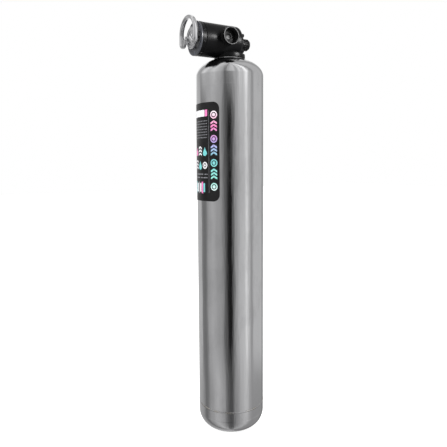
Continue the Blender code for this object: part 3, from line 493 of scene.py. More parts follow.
# %% [markdown]
# ## Loose fillings
# Gravel and filter grains lie inside the vessel. Voronoi cells stand for grains: each cell takes its
# own tone, the distance to the cell's edge rounds it into a stone, and painted shade darkens the gaps
# between the grains.

# %% Grains
def grains(name, dark, pale, size):
    made, tree, shader = starts(name, 0.0, Roughness=0.85)
    place = object_place(tree)
    scale = 1.0 / size
    cells = wire(tree, "TexVoronoi", {"Vector": place, "Scale": scale})
    rims = wire(tree, "TexVoronoi", {"Vector": place, "Scale": scale}, feature="DISTANCE_TO_EDGE")
    tint = wire(tree, "SeparateColor", {0: cells.outputs["Color"]}).outputs[0]
    shade = blended(tree, tint, opaque(dark), opaque(pale))
    # Painted shade: near each cell's edge the colour is darkened to a quarter, between the grains; the
    # same values give the bump.
    gap_shade_and_rounding = ramp(tree, rims.outputs[0], [(0.0, 0.25), (0.18, 1.0)])
    shade = wire(tree, "MixRGB", {0: 1.0, 1: shade, 2: gap_shade_and_rounding}, blend_type="MULTIPLY").outputs[0]
    tree.links.new(shade, shader.inputs["Base Color"])
    bumps(tree, shader, [(gap_shade_and_rounding, size * 0.4, 0.8)])
    return made


FINISH["gravel"] = grains("quartz_gravel", (0.30, 0.25, 0.19), (0.72, 0.68, 0.60), 0.006)
FINISH["media"] = grains("filter_grain", (0.12, 0.11, 0.10), (0.42, 0.38, 0.31), 0.0022)
print("fillings use cells of 6.0 and 2.2 mm")

# %% [markdown]
# ## Shape helpers
# Nearly every outside piece is round, so it is a section spun round an axis. `spun` takes (radius,
# height) points; `ease` then bevels every sharp edge, because a real edge is never a knife edge and
# the bevel is what catches the light. `piece` names the mesh, gives it a finish, sets which body it
# rides on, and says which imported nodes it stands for.

# %% Shape helpers
MERGE = 1e-6
FINE, MEDIUM, COARSE = 192, 96, 48
SMOOTH_UNDER = math.radians(32)


def tidy(data):
    bmesh.ops.remove_doubles(data, verts=data.verts[:], dist=MERGE)
    bmesh.ops.recalc_face_normals(data, faces=data.faces[:])
    return data


def spun(section, steps=MEDIUM, ring=False):
    """A closed solid of (radius, height) points turned round Z; a ring joins its ends."""
    data = bmesh.new()
    points = [data.verts.new((radius, 0, height)) for radius, height in section]
    pairs = list(zip(points, points[1:]))
    if ring:
        pairs.append((points[-1], points[0]))
    edges = [data.edges.new(pair) for pair in pairs]
    bmesh.ops.spin(
        data,
        geom=points + edges,
        cent=(0, 0, 0),
        axis=(0, 0, 1),
        angle=math.tau,
        steps=steps,
        use_merge=True,
    )
    return tidy(data)


def bevelled(data, geometry, offset, segments, affect="EDGES", **settings):
    """One bevel with a round profile, of edges or of a flat face's corners."""
    settings.update(offset=offset, segments=segments, profile=0.5, material=-1, affect=affect)
    bmesh.ops.bevel(data, geom=geometry, **settings)


def ease(data, offset, segments=3, sharper=math.radians(40)):
    """Bevels the edges whose faces meet more sharply than the angle given."""
    edges = [edge for edge in data.edges if edge.is_manifold and edge.calc_face_angle() > sharper]
    bevelled(data, edges, offset, segments, clamp_overlap=True)
    return data


def moved(data, matrix):
    bmesh.ops.transform(data, matrix=matrix, verts=data.verts[:])
    return data


def bare(name, data, made_of=None):
    """An object at the origin with its place in its mesh."""
    mesh = bpy.data.meshes.new(name)
    data.to_mesh(mesh)
    data.free()
    mesh.shade_smooth()
    mesh.set_sharp_from_angle(angle=SMOOTH_UNDER)
    if made_of:
        mesh.materials.append(made_of)
    thing = bpy.data.objects.new(name, mesh)
    scene.collection.objects.link(thing)
    return thing


def belongs(thing, body, slot, *nodes):
    """Rides on a body and stands for the nodes named; the slot argument is not used."""
    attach(thing, body)
    if nodes:
        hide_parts(*nodes)
    print(f"{thing.name}: {len(thing.data.vertices)} points on {body}")
    return thing


def piece(name, data, body, slot, *nodes, made_of=None):
    return belongs(bare(name, data, made_of or FINISH[slot]), body, slot, *nodes)


def round_block(low, high, offset, segments=3):
    """A box between two corners with rounded edges."""
    data = bmesh.new()
    bmesh.ops.create_cube(data, size=1.0)
    low, high = Vector(low), Vector(high)
    bmesh.ops.scale(data, vec=high - low, verts=data.verts[:])
    bmesh.ops.translate(data, vec=(high + low) / 2, verts=data.verts[:])
    return ease(data, offset, segments)


def carved(thing, changes):
    """Joins or cuts (operation, bmesh) shapes with exact Booleans, and keeps the plain result."""
    tools = []
    for operation, data in changes:
        tool = bare("tool", data)
        change = thing.modifiers.new("change", "BOOLEAN")
        change.operation, change.solver, change.object = operation, "EXACT", tool
        tools.append(tool)
    graph = bpy.context.evaluated_depsgraph_get()
    result = bpy.data.meshes.new_from_object(thing.evaluated_get(graph))
    thing.modifiers.clear()
    thing.data = result
    for tool in tools:
        bpy.data.objects.remove(tool, do_unlink=True)
    result.shade_smooth()
    result.set_sharp_from_angle(angle=SMOOTH_UNDER)
    return thing


print("shape helpers ready")

# %% [markdown]
# ## The vessel
# The barrel is rolled sheet, the heads are pressed, and a girth weld joins each head to the barrel.
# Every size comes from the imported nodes. The heads' curves are drawn with many short steps, since a
# mirror finish shows every facet. A holding ring a millimetre from each edge keeps the tilt of the
# eased edge from spreading along the straight wall.

# %% Barrel and heads
WALL = 0.0020
KNUCKLE = 0.050
CROWN_RISE = 0.056
NECK_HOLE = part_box("neck_ring")[1].x + 0.0003
CURVE_STEPS = 32
HOLD = 0.0010

low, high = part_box("tank_barrel")
RADIUS = high.x
BORE = RADIUS - WALL
sheet = [(BORE, high.z), (RADIUS, high.z), (RADIUS, high.z - HOLD), (RADIUS, low.z + HOLD)]
barrel = spun(sheet + [(RADIUS, low.z), (BORE, low.z)], FINE, ring=True)
piece("vessel_barrel", ease(barrel, 0.0003, 2), "vessel", "tank_steel", "tank_barrel")

head_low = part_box("top_head")[0]
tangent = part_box("neck_ring")[1].z - 0.001 - CROWN_RISE


def dome(radius, rise):
    """Points on an ellipse from the neck's hole out to the widest circle."""
    first = math.acos(NECK_HOLE / radius)
    turns = [first * (1 - step / CURVE_STEPS) for step in range(CURVE_STEPS + 1)]
    return [(radius * math.cos(t), tangent + rise * math.sin(t)) for t in turns]


section = dome(RADIUS, CROWN_RISE) + [(RADIUS, tangent - HOLD)]
section += [(RADIUS, head_low.z), (BORE, head_low.z)]
section += dome(BORE, CROWN_RISE - WALL)[::-1]
piece("vessel_top_head", spun(section, FINE, ring=True), "vessel", "tank_steel", "top_head")

foot_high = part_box("bottom_head")[1].z
quarter = [math.pi / 2 * step / CURVE_STEPS for step in range(CURVE_STEPS + 1)]
flat = RADIUS - KNUCKLE


def knuckle(radius):
    """Points round the bottom's corner, from the side down to the flat."""
    return [(flat + radius * math.cos(t), KNUCKLE - radius * math.sin(t)) for t in quarter]


section = [(0, WALL)] + knuckle(KNUCKLE - WALL)[::-1] + [(BORE, foot_high), (RADIUS, foot_high)]
section += [(RADIUS, KNUCKLE + 0.0024), (RADIUS, KNUCKLE + 0.0016)]
section += [(RADIUS - 0.00018, KNUCKLE + 0.0008)]
section += knuckle(KNUCKLE) + [(0, 0)]
piece("vessel_bottom_head", spun(section, FINE), "vessel", "tank_steel", "bottom_head")

# %% [markdown]
# The lower girth weld stands a little proud of the sheet. Its section is a low arch, and a slow
# ripple along it keeps its highlight from being a perfect line. The upper weld is ground flush and
# polished with the sheet, so its band closes the seam and nothing more.

# %% Girth welds
RIPPLES = 150
RIPPLE_DEPTH = 0.00003
ARCH = 6
SEAM_LAP = 0.0010

low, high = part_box("lower_girth_weld")
proud, middle, half = high.x - RADIUS, (high.z + low.z) / 2, (high.z - low.z) / 2
turns = [math.pi * step / ARCH for step in range(ARCH + 1)]
arch = [(RADIUS + proud * math.sin(turn), middle + half * math.cos(turn)) for turn in turns]
bead = spun([(BORE, high.z)] + arch + [(BORE, low.z)], 2 * FINE, ring=True)
for point in bead.verts:
    radius = math.hypot(point.co.x, point.co.y)
    if radius > RADIUS + proud / 4:
        turn = math.atan2(point.co.y, point.co.x)
        shrink = 1 - RIPPLE_DEPTH * (1 + math.sin(RIPPLES * turn)) / radius
        point.co.x, point.co.y = point.co.x * shrink, point.co.y * shrink
piece("lower_weld_bead", bead, "vessel", "weld_steel", "lower_girth_weld")

low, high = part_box("upper_girth_weld")
flush = RADIUS + 0.00002
section = [(BORE, high.z), (flush, high.z + SEAM_LAP), (flush, low.z - SEAM_LAP), (BORE, low.z)]
band = spun(section, FINE, ring=True)
piece("upper_weld_band", band, "vessel", "weld_steel", "upper_girth_weld", made_of=FINISH["tank_steel"])

# %% [markdown]
# ## The label
# The label is a thin printed film wrapped round the barrel. It is easiest to draw flat, in
# millimetres across and up, then wrap: every point's distance across becomes a turn round the
# barrel. The flat shapes are first sliced into narrow strips so that they can bend.

# %% Flat drawing and wrapping
STRIP = 0.003
film_low, film_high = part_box("front_label")
FILM_INNER = RADIUS + 0.0003
FILM_OUTER = FILM_INNER + 0.0005
FILM_HALF = math.atan2(film_high.x, -film_high.y) * FILM_INNER if film_high.y < 0 else 0.075
INK = 0.00008


def flat_patch(data, across, up, width, height, corner=0.0, segments=4):
    """A flat rectangle centred on (across, up), its corners rounded."""
    lay = Matrix.Translation((across, 0, up)) @ Matrix.Rotation(math.pi / 2, 4, "X")
    lay = lay @ Matrix.Diagonal((width, height, 1, 1))
    made = bmesh.ops.create_grid(data, x_segments=1, y_segments=1, size=0.5, matrix=lay)
    if corner:
        bevelled(data, made["verts"], corner, segments, "VERTICES")


def flat_disc(data, across, up, radius, hole=0.0, stretch=1.0):
    """A flat disc, or a ring where a hole is given."""
    lay = Matrix.Translation((across, 0, up)) @ Matrix.Rotation(math.pi / 2, 4, "X")
    lay = lay @ Matrix.Diagonal((1, stretch, 1, 1))
    made = bmesh.ops.create_circle(data, cap_ends=True, segments=32, radius=radius, matrix=lay)
    if hole:
        faces = list({face for vert in made["verts"] for face in vert.link_faces})
        bmesh.ops.inset_individual(data, faces=faces, thickness=radius - hole, use_even_offset=True)
        bmesh.ops.delete(data, geom=faces, context="FACES")


def flat_shape(data, across, up, outline):
    """A flat face from (across, up) points round its middle."""
    data.faces.new([data.verts.new((across + x, 0, up + z)) for x, z in outline])


def chevrons(data, across, up, half, rise, thick, count, pitch):
    """A stack of upward chevrons."""
    for index in range(count):
        base = (index - (count - 1) / 2) * pitch - rise / 2
        near = [(-half, base), (0, base + rise), (half, base)]
        far = [(x, z + thick) for x, z in reversed(near)]
        flat_shape(data, across, up, near[:2] + far[1:])
        flat_shape(data, across, up, near[1:] + far[:2])


def drop(data, across, up, radius, tip):
    """A water drop: a circle drawn out to a point at its top."""
    outline = []
    for step in range(28):
        turn = math.tau * step / 28
        rise = math.sin(turn)
        narrow = 1 - 0.75 * max(rise, 0) ** 2 if step != 7 else 0
        outline.append((radius * math.cos(turn) * narrow, radius * rise + tip * max(rise, 0) ** 3))
    flat_shape(data, across, up, outline)


def wrapped(data, inner, outer):
    """Slices flat shapes into strips, wraps them round Z and gives them a thickness."""
    reach = max(abs(vert.co.x) for vert in data.verts)
    cuts = int(reach / STRIP)
    for index in range(-cuts, cuts + 1):
        geometry = data.verts[:] + data.edges[:] + data.faces[:]
        bmesh.ops.bisect_plane(
            data, geom=geometry, dist=MERGE, plane_co=(index * STRIP, 0, 0), plane_no=(1, 0, 0)
        )
    for vert in data.verts:
        turn = vert.co.x / inner
        vert.co = (inner * math.sin(turn), -inner * math.cos(turn), vert.co.z)
    lifted = bmesh.ops.extrude_face_region(data, geom=data.faces[:], use_keep_orig=True)
    raised = [item for item in lifted["geom"] if isinstance(item, bmesh.types.BMVert)]
    bmesh.ops.scale(data, vec=(outer / inner, outer / inner, 1), verts=raised)
    return tidy(data)


print("label half width", round(FILM_HALF * 1000, 1), "mm")

# %% [markdown]
# The film is satin black, and its ink colours are separate thin shapes on top. The upright column
# runs from white through pink, lilac and mint, as one smooth gradient in height, so its colour
# comes from a ramp on the Object coordinate.

# %% Label finishes
def film_finish():
    coat = {"Coat_Weight": 0.08, "Coat_Roughness": 0.15}
    made, tree, shader = starts("label_film_black", Specular_IOR_Level=0.3, **coat)
    place = object_place(tree)
    skin = use(tree, GRAIN, Grain_Scale=500.0)
    creases = noise(tree, place, 18.0, (1, 1, 0.4), 2.0)
    shade = blended(tree, skin["Patch"], (0.003, 0.003, 0.0034, 1), (0.007, 0.007, 0.0076, 1))
    tree.links.new(shade, shader.inputs["Base Color"])
    tree.links.new(varies(tree, 0.34, [(skin["Patch"], 0.10)]), shader.inputs["Roughness"])
    bumps(tree, shader, [(creases, 0.0012, 0.25), (skin["Height"], 0.00002, 0.4)])
    return made


def ink_finish(name, stops, low_z=None, high_z=None, axis=2):
    """Printed ink; with two limits its colour runs through the stops along one axis."""
    made, tree, shader = starts(name, 0.0, Coat_Weight=0.2, Coat_Roughness=0.15)
    place = object_place(tree)
    dots = noise(tree, place, 1400.0, detail=1.0)
    if low_z is None:
        colour = blended(tree, dots, opaque(stops[0][1]), opaque(stops[-1][1]))
    else:
        along = wire(tree, "SeparateXYZ", {0: place}).outputs[axis]
        share = wire(tree, "MapRange", {0: along, 1: low_z, 2: high_z}).outputs[0]
        colour = ramp(tree, share, stops)
        colour = blended(tree, sums(tree, "MULTIPLY", dots, 0.10), colour, (0.9, 0.9, 0.9, 1))
    tree.links.new(colour, shader.inputs["Base Color"])
    tree.links.new(varies(tree, 0.32, [(dots, 0.12)]), shader.inputs["Roughness"])
    return made


WHITE, PINK, LILAC = (0.80, 0.80, 0.82), (0.78, 0.16, 0.42), (0.36, 0.30, 0.66)
MINT, TEAL, GREY = (0.22, 0.66, 0.56), (0.12, 0.50, 0.52), (0.24, 0.24, 0.26)
label_top, label_bottom = film_high.z, film_low.z
gradient = [(0.0, WHITE), (0.16, MINT), (0.42, TEAL), (0.60, LILAC), (0.80, PINK), (1.0, WHITE)]
ribbon_ink = ink_finish("gradient_ink", gradient, label_bottom + 0.02, label_top - 0.02)
white_ink = ink_finish("white_ink", [(0, WHITE), (1, (0.70, 0.70, 0.73))])
grey_ink = ink_finish("grey_ink", [(0, GREY), (1, (0.19, 0.19, 0.21))])
pink_ink = ink_finish("pink_ink", [(0, PINK), (1, (0.70, 0.20, 0.45))])
teal_ink = ink_finish("teal_ink", [(0, TEAL), (1, (0.16, 0.56, 0.55))])
FINISH["label_film"] = film_finish()
print("label inks: gradient, white, grey, pink, teal")

# %% [markdown]
# The layout is generic: an upright totem of targets and chevrons on the right, a title box with a plain
# bar in it, rows of dashes where small print would be, two rows of drop and wave signs, and a
# striped box at the foot. None of it is lettering.

# %% Label film and prints
film = bmesh.new()
flat_patch(film, 0, (label_top + label_bottom) / 2, 2 * FILM_HALF, label_top - label_bottom, 0.020, 10)
piece("label_sheet", wrapped(film, FILM_INNER, FILM_OUTER), "vessel", "label_film", "front_label")

INK_INNER = FILM_OUTER + 0.00002
prints = {name: bmesh.new() for name in ("ribbon", "white", "grey", "pink", "teal")}

TOTEM_ACROSS, TOTEM_WIDTH, TOTEM_STEP = 0.0585, 0.0205, 0.0345
for index in range(7):
    centre = label_top - 0.037 - index * TOTEM_STEP
    if index % 2 == 0:
        flat_disc(prints["ribbon"], TOTEM_ACROSS, centre, 0.0112, 0.0078)
        flat_disc(prints["ribbon"], TOTEM_ACROSS, centre, 0.0050)
    else:
        chevrons(prints["ribbon"], TOTEM_ACROSS, centre, TOTEM_WIDTH / 2, 0.0060, 0.0058, 3, 0.0100)
flat_patch(prints["grey"], 0.0409, (label_top + label_bottom) / 2, 0.0007, 0.238)

LEFT, RIGHT = -0.0600, 0.0364
MIDDLE, SPAN = (LEFT + RIGHT) / 2, RIGHT - LEFT
flat_patch(prints["white"], MIDDLE - 0.006, label_top - 0.0305, SPAN - 0.012, 0.0190, 0.0015)
flat_patch(prints["pink"], RIGHT - 0.0055, label_top - 0.0305, 0.0095, 0.0190, 0.0015)

# %% [markdown]
# The small print is a list of dash rows. Each dash is a little shorter or longer than the last, in a
# fixed repeating order, so that the rows look set by hand and come out the same every time.

# %% Dashes and signs
DASHES = (0.0062, 0.0038, 0.0084, 0.0050, 0.0070, 0.0030)


def dash_row(data, up, height, start, end, offset):
    across, count = start, offset
    while across < end:
        width = min(DASHES[count % len(DASHES)], end - across)
        if width > height:
            flat_patch(data, across + width / 2, up, width, height)
        across += width + 0.0022
        count += 1


for row in range(7):
    up = label_top - 0.0530 - row * 0.0080
    dash_row(prints["grey"], up, 0.0019, LEFT + 0.004, RIGHT - 0.002, row)
for row, offset in ((0, 2), (1, 4)):
    dash_row(prints["grey"], label_top - 0.2080 - row * 0.0100, 0.0030, LEFT + 0.004, RIGHT, offset)

SIGNS = [("target", "white"), ("drop", "pink"), ("waves", "white"), ("drop", "teal")]
for row in range(2):
    up = label_top - 0.1420 - row * 0.0400
    for place in range(4):
        kind, ink = SIGNS[(place + row) % 4]
        across = LEFT + 0.0125 + place * 0.0240
        if kind == "target":
            flat_disc(prints[ink], across, up, 0.0102, 0.0066)
            flat_disc(prints[ink], across, up, 0.0036)
        elif kind == "drop":
            drop(prints[ink], across, up - 0.0040, 0.0086, 0.0085)
        else:
            chevrons(prints[ink], across, up, 0.0095, 0.0050, 0.0048, 3, 0.0094)

for index in range(9):
    ink = ("white", "pink", "white", "teal", "white", "grey", "white", "pink", "teal")[index]
    across = LEFT + 0.006 + index * 0.0093
    tall = 0.0340 if index % 2 else 0.0260
    flat_patch(prints[ink], across, label_top - 0.2475, 0.0074, tall, 0.001)

INKS = {"ribbon": ribbon_ink, "white": white_ink, "grey": grey_ink, "pink": pink_ink, "teal": teal_ink}
for name, data in prints.items():
    wrapped(data, INK_INNER, INK_INNER + INK)
    piece(f"label_{name}_print", data, "vessel", "label_film", made_of=INKS[name])

# %% [markdown]
# ## The valve's moulding
# The valve body is one black moulding: a barrel lying along -Y, a ported neck on each side and a
# threaded base. Its own axes are handy: `LAY` turns a shape spun round Z so that Z points out of the
# front of the valve. The side necks get coarse outside ridges, and finer ones stand for the
# socket's thread.

# %% Valve places
hub_low, hub_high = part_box("hub_plate")
body_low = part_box("valve_body")[0]
VALVE_Z = (hub_low.z + hub_high.z) / 2
BARREL_RADIUS = 0.0485
FIT = 0.0003
LAY = Matrix.Translation((0, 0, VALVE_Z)) @ Matrix.Rotation(math.pi / 2, 4, "X")


def reach(node):
    """A round valve node's radius, its rear and its front, measured forward from the vessel's axis."""
    low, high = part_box(node)
    return high.x, -high.y, -low.y


def laid(name, section, offset, body, slot, node, segments=2, steps=MEDIUM, ring=True):
    """A piece spun round the valve's axis, its edges eased, laid along the valve."""
    return piece(name, moved(ease(spun(section, steps, ring), offset, segments), LAY), body, slot, node)


inlet = next(m for m in frame["record"]["mounts"] if m["name"] == "inlet_face")
PORT_AXIS = Vector((0, inlet["pos_m"][1], inlet["pos_m"][2] - 0.023))
PORT_FAR = inlet["pos_m"][0]
print("valve axis at", round(VALVE_Z, 4), "port reaches", PORT_FAR)

# %% Ports and barrel
def ridges(radius, start, end, count, height):
    """Rounded ridges along a side: points from start to end."""
    points, pitch = [], (end - start) / count
    for index in range(count):
        base = start + index * pitch
        points += [
            (radius - height, base + 0.15 * pitch),
            (radius, base + 0.40 * pitch),
            (radius, base + 0.60 * pitch),
            (radius - height, base + 0.85 * pitch),
        ]
    return points


NECK_START, NECK_RADIUS, NECK_RIDGE, RIM_RADIUS, RIM_WIDTH = 0.010, 0.0225, 0.0240, 0.0255, 0.0060
SOCKET_RADIUS, SOCKET_DEPTH, PASSAGE_RADIUS, PASSAGE_DEPTH = 0.0205, 0.0205, 0.0085, 0.003


def port(sign):
    """A side neck, turned to point along X on one side."""
    rim, mouth = PORT_FAR, PORT_FAR - RIM_WIDTH
    outside = [(0, NECK_START), (NECK_RADIUS, NECK_START), (NECK_RADIUS, 0.0400)]
    outside += ridges(NECK_RIDGE, 0.0420, mouth - 0.0015, 4, 0.0016)
    outside += [(0.0232, mouth), (RIM_RADIUS, mouth), (RIM_RADIUS, rim), (0.0221, rim)]
    inside = ridges(-0.0207, -(rim - 0.0010), -(rim - 0.0180), 6, 0.0011)
    outside += [(abs(radius), abs(height)) for radius, height in inside]
    floor = rim - SOCKET_DEPTH
    outside += [(SOCKET_RADIUS, floor), (PASSAGE_RADIUS, floor)]
    outside += [(PASSAGE_RADIUS, floor - PASSAGE_DEPTH), (0, floor - PASSAGE_DEPTH)]
    data = ease(spun(outside, MEDIUM), 0.0003, 2)
    turned = Matrix.Translation(PORT_AXIS) @ Matrix.Rotation(sign * math.pi / 2, 4, "Y")
    return moved(data, turned)


CHAMBER, CHAMBER_FLOOR, THREAD = 0.0385, 0.053, 0.0440
rear, front, seat = reach("cover_gasket")[2] + FIT, 0.100, -body_low.y
TAPER_LENGTH, TAPER_DEPTH, TAPER_STEPS = 0.0100, 0.0090, 8
section = [(0, CHAMBER_FLOOR), (CHAMBER, CHAMBER_FLOOR), (CHAMBER, seat), (THREAD, seat)]
section += [(THREAD, front), (BARREL_RADIUS, front)]
for step in range(TAPER_STEPS + 1):
    lean = math.pi / 2 * step / TAPER_STEPS
    radius = BARREL_RADIUS - TAPER_DEPTH * (1 - math.cos(lean))
    section.append((radius, rear + TAPER_LENGTH * (1 - math.sin(lean))))
section.append((0, rear))
barrel = bare("valve_moulding", moved(ease(spun(section, FINE), 0.0007), LAY), FINISH["valve_plastic"])
BASE_RADIUS, BASE_LOW, BASE_HIGH, BASE_CROWN, NECK_THREAD = 0.0465, 1.1395, 1.1530, 0.004, 0.0365
section = [(0, BASE_HIGH + BASE_CROWN), (0.040, BASE_HIGH + BASE_CROWN), (0.0440, BASE_HIGH)]
section += [(BASE_RADIUS, BASE_HIGH - 0.0012), (BASE_RADIUS, BASE_LOW), (0, BASE_LOW)]
base = ease(spun(section, FINE), 0.0010)
thread_high = BASE_LOW + 0.005
section = [(0, thread_high), (NECK_THREAD, thread_high), (NECK_THREAD, body_low.z), (0, body_low.z)]
thread = spun(section)
carved(barrel, [("UNION", port(1)), ("UNION", port(-1)), ("UNION", base), ("UNION", thread)])
belongs(barrel, "vessel", "valve_plastic", "valve_body")

# %% [markdown]
# ## The ring nut and the dial
# The ring nut holds the bonnet on the barrel's thread, and eight lugs take a strap wrench. A lug is
# raised from the nut's own wall: the faces inside its narrow slice are extruded outward together.

# %% Ring nut
def lugged(data, count, share, grow, low, high, phase=0.0):
    """Raises count lugs from the outer wall between two heights; share is the lug's part of a pitch."""
    chosen = []
    for face in data.faces:
        middle = face.calc_center_median()
        flat_normal = Vector((face.normal.x, face.normal.y, 0))
        outer = flat_normal.length > 0.9 and flat_normal.dot(Vector((middle.x, middle.y, 0))) > 0
        place = (math.atan2(middle.y, middle.x) / math.tau * count + phase) % 1
        if outer and low < middle.z < high and abs(place - 0.5) < share / 2:
            chosen.append(face)
    lifted = bmesh.ops.extrude_face_region(data, geom=chosen)
    bmesh.ops.delete(data, geom=chosen, context="FACES")
    raised = [item for item in lifted["geom"] if isinstance(item, bmesh.types.BMVert)]
    bmesh.ops.scale(data, vec=(grow, grow, 1), verts=raised)
    return tidy(data)


nut_radius, nut_rear, nut_front = reach("bonnet_nut")
wall = nut_radius - 0.0016
NUT_MOUTH, NUT_BORE, NUT_LIP = 0.0353, 0.0443, 0.0100
section = [(NUT_MOUTH, nut_front), (wall - 0.0012, nut_front), (wall, nut_front - 0.0012)]
section += [(wall, nut_front - 0.0026), (wall, nut_rear + 0.0016), (wall, nut_rear)]
section += [(NUT_BORE, nut_rear), (NUT_BORE, nut_front - NUT_LIP), (NUT_MOUTH, nut_front - NUT_LIP)]
ring = spun(section, 2 * MEDIUM, ring=True)
lugged(ring, 8, 0.17, nut_radius / wall, nut_rear + 0.0015, nut_front - 0.0020)
piece("ring_nut", moved(ease(ring, 0.0004, 2), LAY), "vessel", "nut_plastic", "bonnet_nut")

# %% [markdown]
# The dial is a dark grey ring whose rim tells where the handle points. Its print is generic: tick
# marks all round, every third one thicker, and plain numbers. Text starts as a flat curve, is made
# a mesh, and only then is laid on the dial.

# %% Dial with ticks and numbers
dial_radius, dial_rear, dial_front = reach("dial_plate")
DIAL_BORE, DIAL_SUNK = 0.0090, 0.0008
section = [(DIAL_BORE, dial_front - DIAL_SUNK), (0.0330, dial_front - DIAL_SUNK), (0.0345, dial_front)]
section += [(dial_radius, dial_front), (dial_radius, dial_rear), (DIAL_BORE, dial_rear)]
laid("position_dial", section, 0.0006, "vessel", "dial_plastic", "dial_plate", 3, 2 * MEDIUM)

TICKS, TICK_INNER, TICK_OUTER = 36, 0.0435, 0.0470
MARK = 0.00012
ticks = bmesh.new()
for index in range(TICKS):
    strong = index % 3 == 0
    near, half = TICK_INNER - (0.0015 if strong else 0), 0.0006 if strong else 0.00035
    low, high = (near, -half, dial_front - MARK), (TICK_OUTER, half, dial_front + MARK)
    tick = round_block(low, high, MARK / 4, 1)
    moved(tick, Matrix.Rotation(math.tau * index / TICKS, 4, "Z"))
    spare = bpy.data.meshes.new("tick")
    tick.to_mesh(spare)
    ticks.from_mesh(spare)
    bpy.data.meshes.remove(spare)
    tick.free()
mark_ink = ink_finish("dial_marks", [(0, (0.05, 0.06, 0.10)), (1, (0.09, 0.10, 0.16))])
piece("dial_ticks", moved(ticks, LAY), "vessel", "dial_plastic", made_of=mark_ink)

NUMBERS = [("1", 90), ("2", 150), ("3", 210), ("4", 270), ("5", 330), ("6", 30)]
numbers = bmesh.new()
for body, angle in NUMBERS:
    letters = bpy.data.curves.new("number", "FONT")
    letters.body, letters.size, letters.extrude = body, 0.0085, MARK
    letters.align_x, letters.align_y = "CENTER", "CENTER"
    source = bpy.data.objects.new("number", letters)
    scene.collection.objects.link(source)
    graph = bpy.context.evaluated_depsgraph_get()
    flat_number = bpy.data.meshes.new_from_object(source.evaluated_get(graph))
    bpy.data.objects.remove(source, do_unlink=True)
    spin = math.radians(angle)
    middle = Vector((0.0388 * math.cos(spin), 0.0388 * math.sin(spin), dial_front))
    flat_number.transform(Matrix.Translation(middle) @ Matrix.Rotation(spin - math.pi / 2, 4, "Z"))
    numbers.from_mesh(flat_number)
piece("dial_numbers", moved(tidy(numbers), LAY), "vessel", "dial_plastic", made_of=mark_ink)

# %% [markdown]
# A screw grows outward from its head: a hexagon inside a round rim, joined by `bridge_loops`, with
# the hexagon pushed down as a socket and the rim pulled out and down as head and shank.

# %% Screws
def screw(head, height, shank, length, socket, depth, dome_rise):
    """A screw along Z: its seat at zero, its head above and its shank below."""
    data = bmesh.new()
    rim = bmesh.ops.create_circle(data, segments=COARSE // 2, radius=head - dome_rise,
                                  matrix=Matrix.Translation((0, 0, height)))["verts"]
    hexagon = bmesh.ops.create_circle(data, segments=6, radius=socket,
                                      matrix=Matrix.Translation((0, 0, height)))["verts"]
    rims = [{edge for vert in loop for edge in vert.link_edges} for loop in (rim, hexagon)]
    bmesh.ops.bridge_loops(data, edges=list(rims[0] | rims[1]))
    sunk = bmesh.ops.extrude_edge_only(data, edges=list(rims[1]))["geom"]
    floor = [item for item in sunk if isinstance(item, bmesh.types.BMVert)]
    bmesh.ops.translate(data, vec=(0, 0, -depth), verts=floor)
    bmesh.ops.contextual_create(data, geom=floor)
    outer = list(rims[0])
    for radius, place in ((head, height - dome_rise), (head, 0), (shank, 0), (shank, -length)):
        grown = bmesh.ops.extrude_edge_only(data, edges=outer)["geom"]
        ring_points = [item for item in grown if isinstance(item, bmesh.types.BMVert)]
        outer = [item for item in grown if isinstance(item, bmesh.types.BMEdge)]
        now = math.hypot(ring_points[0].co.x, ring_points[0].co.y)
        bmesh.ops.scale(data, vec=(radius / now, radius / now, 1), verts=ring_points)
        bmesh.ops.translate(data, vec=(0, 0, place - ring_points[0].co.z), verts=ring_points)
    bmesh.ops.contextual_create(data, geom=ring_points)
    return tidy(data)


# Name, count, head, height, shank, length, socket, depth, dome rise, eased edge, finish, and which
# way the head looks along the valve: 1 is forward.
BOLTS = [
    ("dial", 3, 0.0030, 0.0018, 0.0015, 0.0120, 0.0013, 0.0011, 0.0006, 0.00015, "screw_steel", 1),
    ("cover", 4, 0.0055, 0.0088, 0.0025, 0.0160, 0.0027, 0.0035, 0.0007, 0.0002, "dark_screw", -1),
]
for kind, count, head, height, shank, length, socket, depth, dome_rise, edge, slot, way in BOLTS:
    for index in range(count):
        node = f"{kind}_screw_{index + 1}"
        low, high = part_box(node)
        middle = (low + high) / 2
        seat_y = low.y + height if way > 0 else high.y - height
        at = Matrix.Translation((middle.x, seat_y, middle.z))
        at = at @ Matrix.Rotation(way * math.pi / 2, 4, "X")
        made = ease(screw(head, height, shank, length, socket, depth, dome_rise), edge, 2)
        piece(f"{kind}_bolt_{index + 1}", moved(made, at), "vessel", slot, node)

# %% [markdown]
# ## The handle
# The hub is a chromed disc on the shaft. The loop is one rounded bar, 11 by 13 millimetres, bent
# round: its two ends turn in towards the hub, and a flat tab on each passes through a slot in it.
# The bar is one section, pushed step by step along its route with `extrude_face_region`.

# %% Hub, shaft and nut
hub_radius, hub_rear, hub_front = reach("hub_plate")
STUB_HOLE, HUB_GROOVE = 0.0053, 0.0005
section = [(STUB_HOLE, hub_front), (0.0180, hub_front), (0.0200, hub_front - HUB_GROOVE)]
section += [(0.0235, hub_front - HUB_GROOVE), (0.0255, hub_front), (hub_radius, hub_front)]
section += [(hub_radius, hub_rear), (STUB_HOLE, hub_rear)]
disc = bare("hub_disc", ease(spun(section, 2 * MEDIUM, ring=True), 0.0009), FINISH["chrome"])
TAB_HALF_WIDTH, TAB_HALF_HEIGHT, TAB_REACH = 0.0015, 0.0060, 0.0170
slots = []
for sign in (1, -1):
    near, far = sorted((sign * (TAB_REACH - 0.0022), sign * (TAB_REACH + 0.0022)))
    slot_half, through = TAB_HALF_HEIGHT + 0.0006, 0.004
    slot_low, slot_high = (near, -slot_half, hub_rear - through), (far, slot_half, hub_front + through)
    slots.append(("DIFFERENCE", round_block(slot_low, slot_high, 0.0012)))
carved(disc, slots)
disc.data.transform(LAY)
belongs(disc, "handle", "chrome", "hub_plate")

